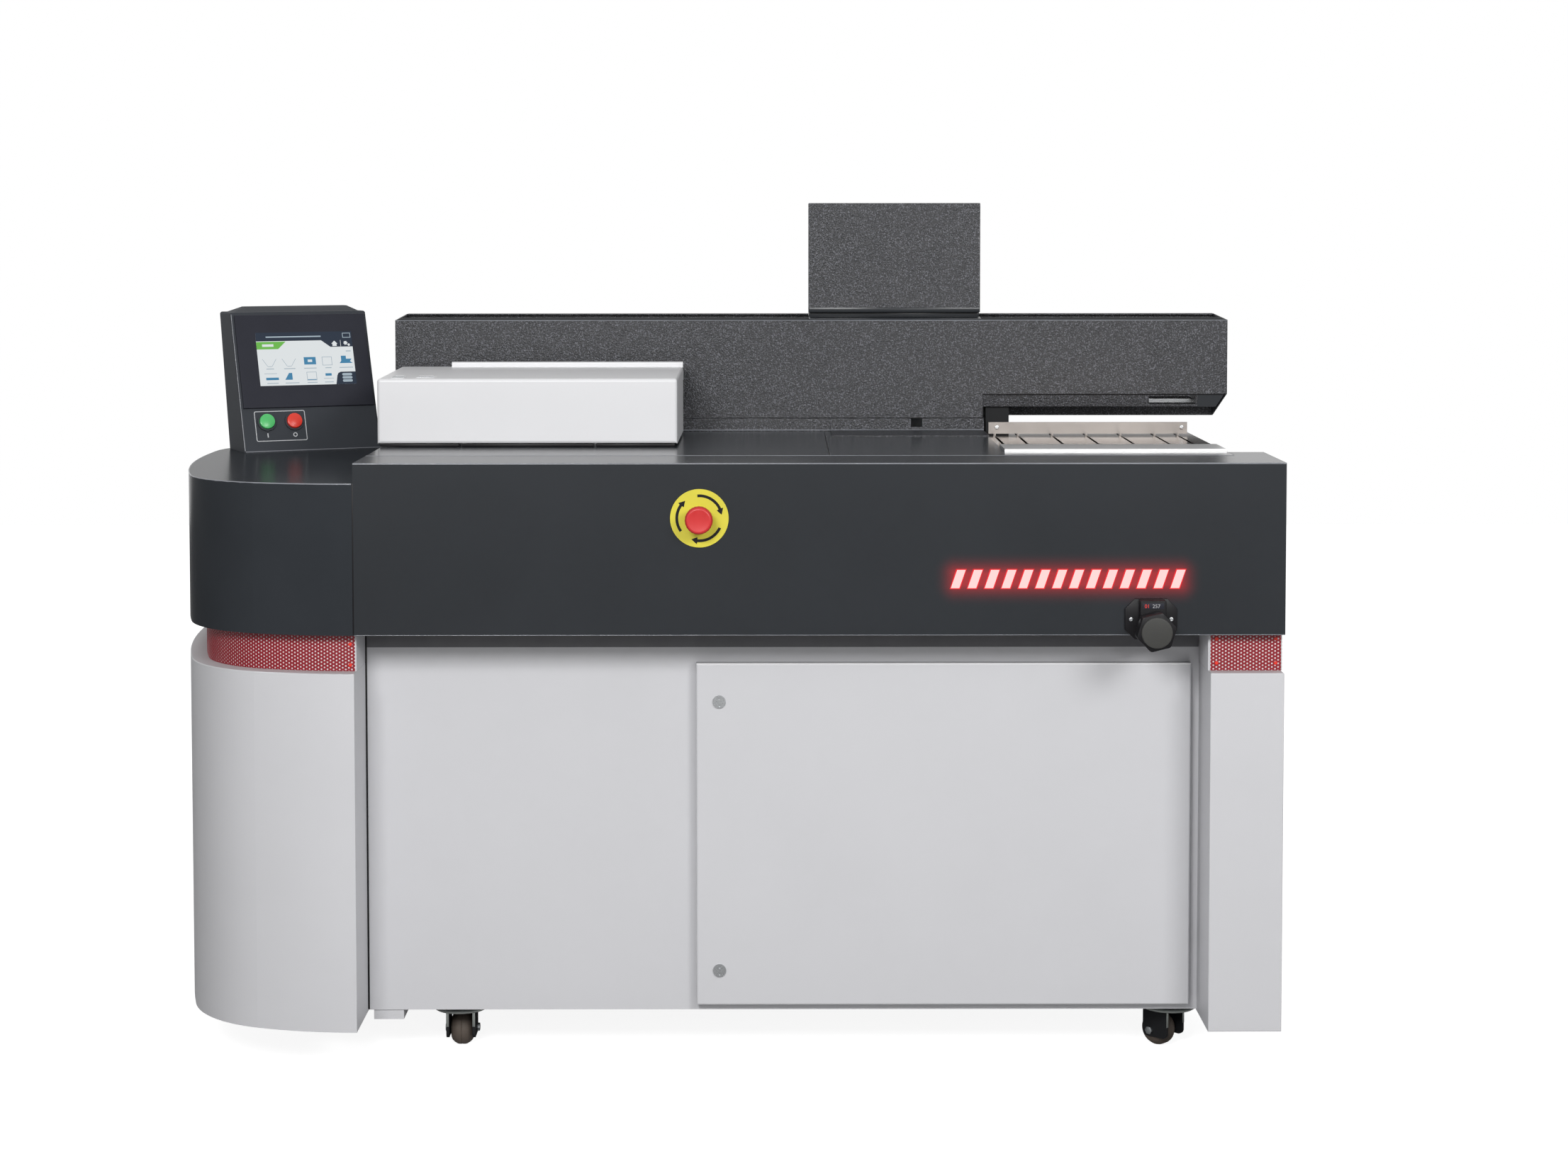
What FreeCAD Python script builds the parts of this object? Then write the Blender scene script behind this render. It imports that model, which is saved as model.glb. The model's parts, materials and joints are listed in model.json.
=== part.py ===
import FreeCAD, Part
import math
import os
import re

# Perfect binding machine: a cabinet on casters with a cover table, a glue station, a milling
# station and a clamp carriage that runs along a beam above them.
# Millimetres. X runs to the operator's right, Y to the rear, Z up; the floor is Z 0 and the
# origin is under the middle of the machine.

doc = FreeCAD.newDocument("BindingMachine")
sheet = doc.addObject("Spreadsheet::Sheet", "Sizes")

SIZES = {
    # Outer body
    "join_x": -514, "right_x": 810, "front_y": -360, "rear_y": 380, "cover_low": 644.5,
    "deck_top": 890, "drum_drop": 29, "wall": 2, "column_low": 73, "column_top": 590,
    "column_left": 704, "return_depth": 188, "ledge_depth": 130, "underside_depth": 112,
    "flange": 12, "drum_flange": 30, "deck_sheet": 3, "plate_joint": 164.7, "joint_gap": 0.6,
    "deck_rear": 250, "side_right": 756.5,
    # Curve of the drum at the left: three tangent arcs, then a straight side and a rear corner
    "arc_front": 430, "turn_front": 20, "arc_corner": 184, "turn_corner": 55,
    "arc_side": 1408, "turn_side": 15, "arc_rear": 170, "band_inset": 25, "soft_edge": 1.5,
    # Welded frame
    "tube": 40, "frame_left": -500, "frame_right": 700, "frame_front": -205, "frame_rear": 365,
    "bed_low": 640, "bed_sheet": 12, "bed_front": 225, "deck_beam_y": 210, "table_tube_y": -90,
    # Cabinet
    "panel_y": -250, "panel_top": 644, "door_left": -30.6, "door_right": 690, "door_low": 86.6,
    "door_top": 590, "door_depth": 20, "door_return": 17, "door_lap": 20, "pivot_in": 8,
    "pivot_back": 6, "pivot_pin": 2.5, "pivot_fit": 0.05, "hinge_up": 90, "arm_tall": 20,
    "lock_in": 33.6, "lock_up": 51.7, "lock_down": 56, "lock_head": 9.5, "lock_body": 8, "lock_fit": 0.08,
    "cam_reach": 28, "mount_sheet_y": -150,
    # Cover table
    "table_left": 426, "table_bar_y": -165, "table_bar_deep": 95, "bar_rise": 4, "table_mid": 583.2,
    "groove": 4, "groove_step": 54.7, "groove_end": 37.4, "table_rear": 262, "table_sheet": 2.4,
    "stop_y": 156, "stop_tall": 21.5, "stop_sheet": 3, "stop_left": 426.5, "stop_right": 745,
    "finger": 3.6, "rail_lift": 3, "cross_drop": 52, "screw_x": 619.5, "screw_z": 656, "screw_r": 7,
    "screw_fit": 0.06, "screw_end": 222, "nut_half": 20, "nut_deep": 26,
    # Hand knob and position indicator
    "knob_face": -420, "knob_thick": 32, "knob_corner": 28.5, "indicator_x": 618,
    "indicator_z": 668, "indicator_wide": 74, "indicator_tall": 58, "indicator_deep": 25,
    # Emergency stop
    "stop_x": -22.6, "stop_z": 812, "disc_r": 41.5, "disc_sheet": 2, "collar_r": 15,
    "barrel_r": 10.8, "stem_r": 8, "stem_fit": 0.3, "head_r": 20,
    # Beam and carriage
    "beam_left": -536, "beam_right": 824, "beam_front": 250, "beam_rear": 397,
    "beam_step": 424, "under_tall": 21, "under_end": 47, "beam_low": 912, "beam_short": 951, "beam_top": 1072, "beam_rise": 6,
    "top_strip": 52, "rear_low": 906, "rail_y": 264, "rail_deep": 32, "rail_low": 1000,
    "guide_deep": 12, "guide_low": 1022, "guide_tall": 16, "post_one": -500, "post_two": 430,
    "post_wide": 38, "chain_left": -425, "chain_right": 780, "chain_z": 961, "chain_r": 24.3,
    "chain_link": 3.7, "chain_y": 298, "chain_deep": 7, "run_gap": 0.3,
    "carriage_x": 281, "jaw_half": 186, "rod_half": 178, "rod_z": 955, "rod_r": 6,
    "rod_fit": 0.05, "plate_y": 318, "plate_sheet": 6, "jaw_sheet": 8, "jaw_low": 908,
    "jaw_top": 1010, "grip": 38, "jaw_back": 12, "tower_left": 139.5, "tower_wide": 282.5,
    "tower_low": 1083.5, "tower_top": 1263, "tower_front": 287,
    # Glue hood and glue station
    "hood_left": -520, "hood_right": -64, "hood_front": -72, "hood_rear": 194, "hood_low": 895,
    "hood_top": 994, "hood_rise": 5, "hood_strip": 8, "strip_left": -436, "hood_pivot_y": 201,
    "hood_pivot_z": 985, "hood_pin": 4, "hood_fit": 0.06,
    "tank_left": -450, "tank_right": -130, "tank_front": -40, "tank_rear": 140, "tank_top": 970,
    "cup_r": 60, "pipe_r": 10, "pipe_z": 790, "spine_y": 351,
    # Milling station
    "mill_x": 60, "mill_y": 330, "mill_r": 45, "mill_top": 895, "mill_thick": 8,
    "spigot_z": 740, "spigot_r": 50, "spigot_reach": 40,
    # Console
    "console_x": -770, "console_y": 180, "console_yaw": 26, "console_lean": 20,
    "console_wide": 229, "console_tall": 238, "console_deep": 74, "console_foot": 95,
    "bezel_wide": 219, "bezel_tall": 159, "bezel_up": 73, "bezel_thick": 4,
    "button_r": 12.5,
    "button_left": 41, "button_step": 45.5, "button_up": 50, "button_proud": 7,
    # Lit sign on the fascia
    "sign_left": 334, "sign_low": 712, "sign_tall": 26, "sign_slant": 9, "sign_bar": 12,
    "sign_pitch": 24, "sign_count": 14, "sign_proud": 0.8,
    # Casters
    "wheel_r": 25, "wheel_wide": 32, "axle_r": 4, "axle_fit": 0.06, "trail": 18,
    "king_r": 5, "king_fit": 0.06, "race_r": 38, "caster_plate": 3.5, "plate_half": 40, "plate_shift": 9, "caster_top": 75,
    "caster_left": -384.5, "caster_right": 672, "caster_front": -185, "caster_rear": 345,
    "turned": 45,
}
for line, (alias, value) in enumerate(SIZES.items(), start=1):
    sheet.set(f"A{line}", alias)
    sheet.set(f"B{line}", str(value))
    sheet.setAlias(f"B{line}", alias)
doc.recompute()

WORDS = re.compile(r"[a-z][a-z_]*[a-z]")
TURNS = {
    "x": FreeCAD.Rotation(FreeCAD.Vector(0, 1, 0), 90),
    "y": FreeCAD.Rotation(FreeCAD.Vector(1, 0, 0), -90),
    "z": FreeCAD.Rotation(),
}
nodes = []


def bound(text):
    """The same expression with each size looked up in the sheet."""
    return WORDS.sub(lambda word: f"Sizes.{word.group()}", str(text))


def size(alias):
    """A size read from the sheet, for the shapes that are worked out in code."""
    return float(sheet.get(alias))


def block(name, x, y, z):
    """A box between two planes along each axis, each plane an expression."""
    item = doc.addObject("Part::Box", name)
    for side, axis, (low, high) in (("Length", "x", x), ("Width", "y", y), ("Height", "z", z)):
        item.setExpression(side, bound(f"({high}) - ({low})"))
        item.setExpression(f"Placement.Base.{axis}", bound(low))
    return item


def rod(name, axis, across, along, radius):
    """A round bar along one axis; across gives its other two places in X, Y, Z order."""
    item = doc.addObject("Part::Cylinder", name)
    item.Placement = FreeCAD.Placement(FreeCAD.Vector(), TURNS[axis])
    item.setExpression("Radius", bound(radius))
    item.setExpression("Height", bound(f"({along[1]}) - ({along[0]})"))
    item.setExpression(f"Placement.Base.{axis}", bound(along[0]))
    for letter, place in zip([c for c in "xyz" if c != axis], across):
        item.setExpression(f"Placement.Base.{letter}", bound(place))
    return item


def cut(name, base, *tools):
    """The base less each tool in turn."""
    for tool in tools:
        item = doc.addObject("Part::Cut", name)
        item.Base = base
        item.Tool = tool
        base = item
    return base


def fuse(name, *pieces):
    """One solid from several that touch."""
    item = doc.addObject("Part::MultiFuse", name)
    item.Shapes = list(pieces)
    item.Refine = True
    return item


def group(name, *pieces):
    """Separate solids that share a node."""
    item = doc.addObject("Part::Compound", name)
    item.Links = list(pieces)
    return item


def rounded(name, base, radius, choose):
    """The base with the chosen edges rounded."""
    doc.recompute()
    item = doc.addObject("Part::Fillet", name)
    item.Base = base
    edges = enumerate(base.Shape.Edges, start=1)
    item.Edges = [(n, radius, radius) for n, edge in edges if choose(edge.BoundBox)]
    return item


def prism(name, points, plane, low, high):
    """A straight prism: a drawn outline in one plane, padded between two planes."""
    body = doc.addObject("PartDesign::Body", name)
    sketch = body.newObject("Sketcher::SketchObject", name + "_outline")
    role = {"x": "YZ_Plane", "z": "XY_Plane", "y": "XZ_Plane"}[plane]
    origin = next(f for f in body.Origin.OriginFeatures if f.Role == role)
    sketch.AttachmentSupport = [(origin, "")]
    sketch.MapMode = "FlatFace"
    corners = [FreeCAD.Vector(a, b, 0) for a, b in points]
    for start, end in zip(corners, corners[1:] + corners[:1]):
        sketch.addGeometry(Part.LineSegment(start, end))
    pad = body.newObject("PartDesign::Pad", name + "_pad")
    pad.Profile = sketch
    pad.setExpression("Length", bound(f"({high}) - ({low})"))
    pad.Reversed = plane == "y"
    body.setExpression(f"Placement.Base.{plane}", bound(low))
    return body


def shape(name, solid, place=None):
    """A piece whose outline is worked out in code."""
    item = doc.addObject("Part::Feature", name)
    item.Shape = solid
    if place is not None:
        item.Placement = place
    return item


def keep(node, item):
    """Names a finished sub-part and lists it for export."""
    item.Label = node
    nodes.append(item)
    return item


# --- Frame ---------------------------------------------------------------------------------

def screw_bearing():
    """The bearing on the bed's front edge that carries the rear end of the lead screw."""
    y = ("screw_end - 14", "bed_front")
    bearing = block("bearing", ("screw_x - nut_half", "screw_x + nut_half"), y,
                    ("bed_low - tube", "screw_z + nut_half"))
    bore = rod("bearing_bore", "y", ("screw_x", "screw_z"), y, "screw_r + screw_fit")
    return cut("screw_end_bearing", bearing, bore)


def frame():
    left = ("frame_left", "frame_left + tube")
    right = ("frame_right - tube", "frame_right")
    middle = ("table_left - tube", "table_left")
    front = ("frame_front", "frame_front + tube")
    rear = ("frame_rear - tube", "frame_rear")
    inner = ("bed_front", "bed_front + tube")
    whole = ("frame_left", "frame_right")
    between = ("frame_front + tube", "frame_rear - tube")
    low = ("caster_top", "caster_top + tube")
    base = [block("rail", whole, y, low) for y in (front, rear)]
    base += [block("cross", x, between, low) for x in (left, middle, right)]
    deck = ("deck_top - deck_sheet - tube", "deck_top - deck_sheet")
    bed = ("bed_low - tube", "bed_low")
    beam = ("deck_beam_y", "deck_beam_y + tube")
    parts = base + [block("front_post", x, front, ("caster_top + tube", deck[0])) for x in (left, right)]
    parts += [block("rear_post", x, rear, ("caster_top + tube", bed[0])) for x in (left, right)]
    parts += [block("bed_rail", whole, y, bed) for y in (inner, rear)]
    parts += [block("bed_cross", x, (inner[1], rear[0]), bed) for x in (left, middle, right)]
    parts.append(block("deck_rail", whole, front, deck))
    parts.append(block("deck_beam", ("frame_left", "side_right - wall"), beam, deck))
    prop = ("bed_low + bed_sheet", deck[0])
    parts += [block("prop", x, ("bed_front", "deck_beam_y + tube"), prop) for x in (left, right)]
    parts += [block("deck_cross", x, (front[1], beam[0]), deck) for x in (left, middle)]
    bar = ("table_tube_y", "table_tube_y + tube")
    parts.append(block("table_tube", ("table_left", "side_right - wall"), bar, deck))
    parts.append(block("bed", whole, ("bed_front", "frame_rear"),
                       ("bed_low", "bed_low + bed_sheet")))
    keep("welded_frame", group("frame_members", *parts, screw_bearing()))


# --- Covers --------------------------------------------------------------------------------

def drum(inset, low, high, side):
    """The drum's plan between two heights, drawn in by the inset and, at the join, by the side."""
    join = size("join_x")
    edges = []

    def arc(start, heading, radius, turn):
        def along(part):
            first, now = math.radians(heading), math.radians(heading - turn * part)
            return start + FreeCAD.Vector(radius * (math.sin(first) - math.sin(now)),
                                          radius * (math.cos(now) - math.cos(first)), 0)
        edges.append(Part.Arc(start, along(0.5), along(1)).toShape())
        return along(1), heading - turn

    def line(start, x, y):
        end = FreeCAD.Vector(x, y, low)
        edges.append(Part.makeLine(start, end))
        return end

    begin = FreeCAD.Vector(join, size("front_y") + inset, low)
    place, heading = begin, 180
    for radius, turn in (("arc_front", "turn_front"), ("arc_corner", "turn_corner"),
                         ("arc_side", "turn_side")):
        place, heading = arc(place, heading, size(radius) - inset, size(turn))
    place = line(place, place.x, size("rear_y") - size("arc_rear"))
    place, heading = arc(place, heading, size("arc_rear") - inset, 90)
    place = line(place, join, place.y)
    line(place, begin.x, begin.y)
    solid = Part.Face(Part.Wire(edges)).extrude(FreeCAD.Vector(0, 0, high - low))
    if side:
        deep = size("rear_y") - size("front_y")
        corner = FreeCAD.Vector(join - side, size("front_y"), low)
        solid = solid.cut(Part.makeBox(side, deep, high - low, corner))
    return solid


def softened(solid):
    """The solid with its top edges rounded as bent and painted sheet is."""
    top = solid.BoundBox.ZMax - 0.1
    return solid.makeFillet(size("soft_edge"), [e for e in solid.Edges if e.BoundBox.ZMin > top])


def covers():
    wall = size("wall")
    inset = size("band_inset")
    top, low = size("deck_top") - size("drum_drop"), size("cover_low")
    column_low, column_top = size("column_low"), size("column_top")
    flange = size("drum_flange")
    inside = drum(wall, low + wall, top - wall, wall)
    hatch = drum(flange, low, low + wall, flange)
    keep("left_drum_cover", shape("drum_cover", softened(drum(0, low, top, 0)).cut(inside)
                                  .cut(hatch)))
    hollow = drum(wall, column_low, column_top - wall, wall)
    shell = softened(drum(0, column_low, column_top, 0)).cut(hollow)
    end = Part.makeBox(wall, size("rear_y") - size("front_y") - 2 * inset, low - column_top,
                       FreeCAD.Vector(size("join_x") - wall, size("front_y") + inset, column_top))
    keep("left_column_cover", shape("left_column", shell.fuse(end)))
    core = drum(inset + wall, column_top, low, 2 * wall)
    keep("left_band_mesh", shape("left_band", drum(inset, column_top, low, wall).cut(core)))

    column_x = ("column_left", "right_x - 1")
    column_y = ("front_y", "front_y + return_depth")
    inner_x = ("column_left + wall", "right_x - 1 - wall")
    inner_y = ("front_y + wall", "front_y + return_depth - wall")
    end = block("column_end", ("column_left", "column_left + wall"),
                ("front_y + band_inset", "front_y + return_depth"), ("column_top", "cover_low"))
    column = block("column", column_x, column_y, ("column_low", "column_top"))
    column = rounded("column_edges", column, size("soft_edge"), lambda b: b.YMax < size(
        "front_y") + 1 or b.ZMin > size("column_top") - 1)
    column = fuse("column_shell", column, end)
    keep("right_column_cover", cut("right_column", column, block(
        "hollow", inner_x, inner_y, ("column_low", "column_top - wall"))))
    band_y = ("front_y + band_inset", "front_y + return_depth")
    keep("right_band_mesh", cut(
        "right_band", block("band", ("column_left + 3", "right_x - 2"), band_y,
                            ("column_top", "cover_low")),
        block("core", ("column_left + 3 + wall", "right_x - 2 - wall"),
              ("front_y + band_inset + wall", "front_y + return_depth - wall"),
              ("column_top", "cover_low"))))

    fascia = block("fascia", ("join_x", "right_x"), column_y, ("cover_low", "deck_top"))
    fascia = rounded("fascia_edge", fascia, 2, lambda b: b.YMax < size("front_y") + 1
                     and (b.ZMin > size("deck_top") - 1 or b.XMin > size("right_x") - 1))
    inside = block("inside", ("join_x + wall", "right_x - wall"),
                   ("front_y + wall", "front_y + return_depth"),
                   ("cover_low + wall", "deck_top - wall"))
    hatch = block("hatch", ("join_x + flange", "right_x - flange"),
                  ("front_y + underside_depth", "front_y + return_depth"),
                  ("cover_low", "cover_low + wall"))
    ledge = block("ledge", ("join_x", "side_right + joint_gap"),
                  ("front_y + ledge_depth", "front_y + return_depth"),
                  ("deck_top - deck_sheet", "deck_top"))
    screw = rod("screw_hole", "y", ("screw_x", "screw_z"), ("front_y - 1", "front_y + 9"), 9)
    stop = rod("stop_hole", "y", ("stop_x", "stop_z"), ("front_y - 1", "front_y + 9"),
               "barrel_r + 0.2")
    keep("front_fascia", cut("fascia_shell", fascia, inside, hatch, ledge, screw, stop))

    plate_z = ("deck_top - deck_sheet", "deck_top")
    plate_y = ("front_y + ledge_depth + joint_gap", "deck_rear - wall - joint_gap")
    left = block("left_plate", ("join_x", "plate_joint - joint_gap"), plate_y, plate_z)
    skirt = block("left_skirt", ("join_x", "join_x + wall"), ("front_y + return_depth",
                  "deck_rear - wall - joint_gap"), ("deck_top - drum_drop", "deck_top - deck_sheet"))
    pipe = rod("pipe_hole", "z", ("tank_left + 60", "tank_rear - 40"),
               ("deck_top - 9", "deck_top + 9"), "pipe_r + run_gap")
    keep("deck_plate_left", cut("deck_left", fuse("deck_left_sheet", left, skirt), pipe))
    strip = block("front_strip", ("plate_joint", "side_right"),
                  ("front_y + ledge_depth + joint_gap", "table_bar_y - joint_gap"), plate_z)
    right = block("right_plate", ("plate_joint", "table_left - joint_gap"), plate_y, plate_z)
    keep("deck_plate_right", fuse("deck_right", right, strip))

    sill = block("sill", ("join_x", "plate_joint + 10"), ("deck_rear - wall", "deck_rear"),
                 ("deck_top - deck_sheet", "beam_low - 1"))
    upright = block("guide_upright", ("plate_joint + 10.5", "table_left"),
                    ("deck_rear - wall", "deck_rear"),
                    ("deck_top - deck_sheet", "beam_low - 1"))
    foot = block("guide_foot", ("plate_joint + 10.5", "table_left"),
                 ("deck_rear - 116", "deck_rear"), ("deck_top", "deck_top + 1.5"))
    notch = block("guide_notch", ("plate_joint + 142", "plate_joint + 160.5"),
                  ("deck_rear - 9", "deck_rear + 9"), ("deck_top + 7", "beam_low"))
    keep("rear_sill", group("sills", sill, cut("guide", fuse("guide_sheet", upright, foot), notch)))

    opening = block("door_opening", ("door_left + door_lap", "door_right - door_lap"),
                    ("panel_y - 1", "panel_y + wall + 1"),
                    ("door_low + door_lap", "door_top - door_lap"))
    panel = block("panel", ("join_x", "column_left"), ("panel_y", "frame_front"),
                  ("caster_top", "panel_top"))
    hollow = block("panel_hollow", ("join_x + wall", "column_left - wall"),
                   ("panel_y + wall", "frame_front"), ("caster_top + wall", "panel_top - wall"))
    keep("cabinet_front_panel", cut("front_panel", panel, hollow, opening))
    side = block("side", ("frame_right", "side_right"), ("front_y + return_depth", "rear_y"),
                 ("caster_top", "deck_top - deck_sheet"))
    hollow = block("side_hollow", ("frame_right", "side_right - wall"),
                   ("front_y + return_depth + wall", "rear_y - wall"),
                   ("caster_top + wall", "deck_top - deck_sheet"))
    panels = [cut("side_panel", side, hollow)]
    rear = block("rear", ("join_x", "frame_right"), ("frame_rear", "rear_y"),
                 ("caster_top", "bed_low"))
    hollow = block("rear_hollow", ("join_x + wall", "frame_right - wall"),
                   ("frame_rear", "rear_y - wall"), ("caster_top + wall", "bed_low - wall"))
    panels.append(cut("rear_panel", rear, hollow))
    bay = block("bay", ("join_x", "frame_right"), ("frame_rear", "rear_y"),
                ("bed_low", "deck_top - 14"))
    hollow = block("bay_hollow", ("join_x + wall", "frame_right - wall"),
                   ("frame_rear", "rear_y - wall"), ("bed_low + wall", "deck_top - 14 - wall"))
    port = rod("port", "y", ("mill_x", "spigot_z"), ("frame_rear", "rear_y + 1"), "spigot_r - wall")
    apron = block("apron", ("join_x", "post_two + post_wide + 2"), ("rear_y - wall", "rear_y"),
                  ("deck_top - 16", "rear_low - 1"))
    panels.append(fuse("station_rear", cut("station_box", bay, hollow, port), apron))
    keep("cabinet_rear_panels", group("rear_panels", *panels))
    collar = rod("collar", "y", ("mill_x", "spigot_z"), ("rear_y", "rear_y + spigot_reach"),
                 "spigot_r")
    rim = rod("rim", "y", ("mill_x", "spigot_z"), ("rear_y", "rear_y + wall"), "spigot_r + 14")
    bore = rod("spigot_bore", "y", ("mill_x", "spigot_z"), ("rear_y", "rear_y + spigot_reach"),
               "spigot_r - wall")
    keep("dust_outlet", cut("spigot", fuse("spigot_wall", collar, rim), bore))

    floor = block("station_floor", ("frame_left", "table_left"), ("deck_rear", "frame_rear"),
                  ("deck_top - 14", "deck_top - 10"))
    post = block("post_gap", ("post_one - 1", "post_one + post_wide + 1"),
                 ("rail_y - 1", "rail_y + rail_deep + 1"), ("deck_top - 15", "deck_top - 9"))
    cutter = rod("cutter_gap", "z", ("mill_x", "mill_y"), ("deck_top - 15", "deck_top - 9"),
                 "mill_r + 5")
    nozzle = block("nozzle_gap", ("tank_left + 30", "tank_left + 210"),
                   ("spine_y - 26", "frame_rear"), ("deck_top - 15", "deck_top - 9"))
    keep("station_deck", cut("station", floor, post, cutter, nozzle))
    keep("transport_block", block("transport", ("frame_left - 6", "frame_left + 38"),
                                  ("panel_y + 3", "frame_front + 5"),
                                  ("caster_top - 15", "caster_top")))


# --- Door and cabinet ----------------------------------------------------------------------

def door():
    pivot = ("door_right - pivot_in", "panel_y - door_depth + pivot_back")
    front = "panel_y - door_depth"
    leaf = block("leaf", ("door_left", "door_right"), (front, f"{front} + door_return"),
                 ("door_low", "door_top"))
    leaf = rounded("leaf_edges", leaf, 3,
                   lambda b: b.YMax < size("panel_y") - size("door_depth") + 1)
    hollow = block("leaf_hollow", ("door_left + wall", "door_right - wall"),
                   (f"{front} + wall", f"{front} + door_return"),
                   ("door_low + wall", "door_top - wall"))
    tools = [hollow]
    locks = ("door_low + lock_up", "door_top - lock_down")
    for place in locks:
        tools.append(rod("lock_hole", "y", ("door_left + lock_in", place),
                         (f"{front} - 1", f"{front} + 9"), "lock_body + lock_fit"))
    arms, pins, knuckles = [], [], []
    for place in ("door_low + hinge_up", "door_top - hinge_up"):
        reach = (f"{place}", f"{place} + arm_tall")
        tools.append(block("arm_notch", ("door_right - 5", "door_right + 1"),
                           (f"{front} + wall", f"{front} + door_depth"),
                           (f"{place} - 2", f"{place} + arm_tall + 2")))
        arm = fuse("arm", rod("arm_end", "z", pivot, reach, "pivot_pin + 1.1"),
                   block("arm_sheet", (f"{pivot[0]} - 8", f"{pivot[0]} + 3"),
                         (pivot[1], "panel_y"), reach))
        arms.append(cut("hinge_arm", arm, rod("arm_bore", "z", pivot, reach, "pivot_pin + 0.02")))
        pins.append(rod("pin", "z", pivot, (f"{place}", f"{place} + arm_tall + 16"), "pivot_pin"))
        high = (f"{place} + arm_tall + run_gap", f"{place} + arm_tall + 16")
        knuckle = block("knuckle", (f"{pivot[0]} - 12", f"{pivot[0]} + 4"),
                        (f"{front} + wall", f"{pivot[1]} + 4.5"), high)
        knuckles.append(cut("hinge_knuckle", knuckle,
                            rod("knuckle_bore", "z", pivot, high, "pivot_pin + pivot_fit")))
    keep("cabinet_door", group("door_parts", cut("door_leaf", leaf, *tools), *knuckles))
    keep("door_hinges", group("hinges", *arms, *pins))
    for node, place in zip(("lower_lock", "upper_lock"), locks):
        axis = ("door_left + lock_in", place)
        head = rod("head", "y", axis, (f"{front} - 2", front), "lock_head")
        barrel = rod("barrel", "y", axis, (front, "panel_y + wall + 5"), "lock_body")
        cam = block("cam", ("door_left + lock_in - 7", "door_left + lock_in + 7"),
                    ("panel_y + wall + 1", "panel_y + wall + 4"),
                    (f"{place} - 8", f"{place} + cam_reach"))
        sockets = [rod("socket", "y", (axis[0], f"{place} + {up}"), (f"{front} - 2", front), 2)
                   for up in (5, -5)]
        keep(node, cut(node + "_body", fuse(node + "_metal", head, barrel, cam), *sockets))

    mount = "mount_sheet_y"
    sheet_z = ("door_low + 50", "door_top - 50")
    plate = block("mount_sheet", ("table_left - 380", "frame_right - 50"), (mount, f"{mount} + 3"),
                  sheet_z)
    stays = [block("stay", (f"{x} - 15", f"{x} + 15"), (f"{mount} + 3", f"{mount} + 40"), sheet_z)
             for x in ("table_left - 20", "frame_right - 90")]
    foot = block("mount_foot", ("table_left - 380", "frame_right - 50"),
                 (mount, f"{mount} + 40"), ("caster_top + tube", "door_low + 50"))
    parts = [fuse("mounting", plate, foot, *stays)]
    for left, up, wide, tall, deep in ((30, 260, 130, 200, 80), (190, 300, 90, 150, 70),
                                       (310, 330, 60, 90, 60), (390, 330, 60, 90, 60),
                                       (30, 60, 440, 50, 40), (30, 160, 440, 60, 55)):
        x = f"table_left - 380 + {left}"
        parts.append(block("device", (x, f"{x} + {wide}"), (f"{mount} - {deep}", mount),
                           (f"door_low + 30 + {up - 30}", f"door_low + 30 + {up - 30} + {tall}")))
    keep("electrical_plate", group("devices", *parts))


# --- Cover table, lay and hand knob --------------------------------------------------------

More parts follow.
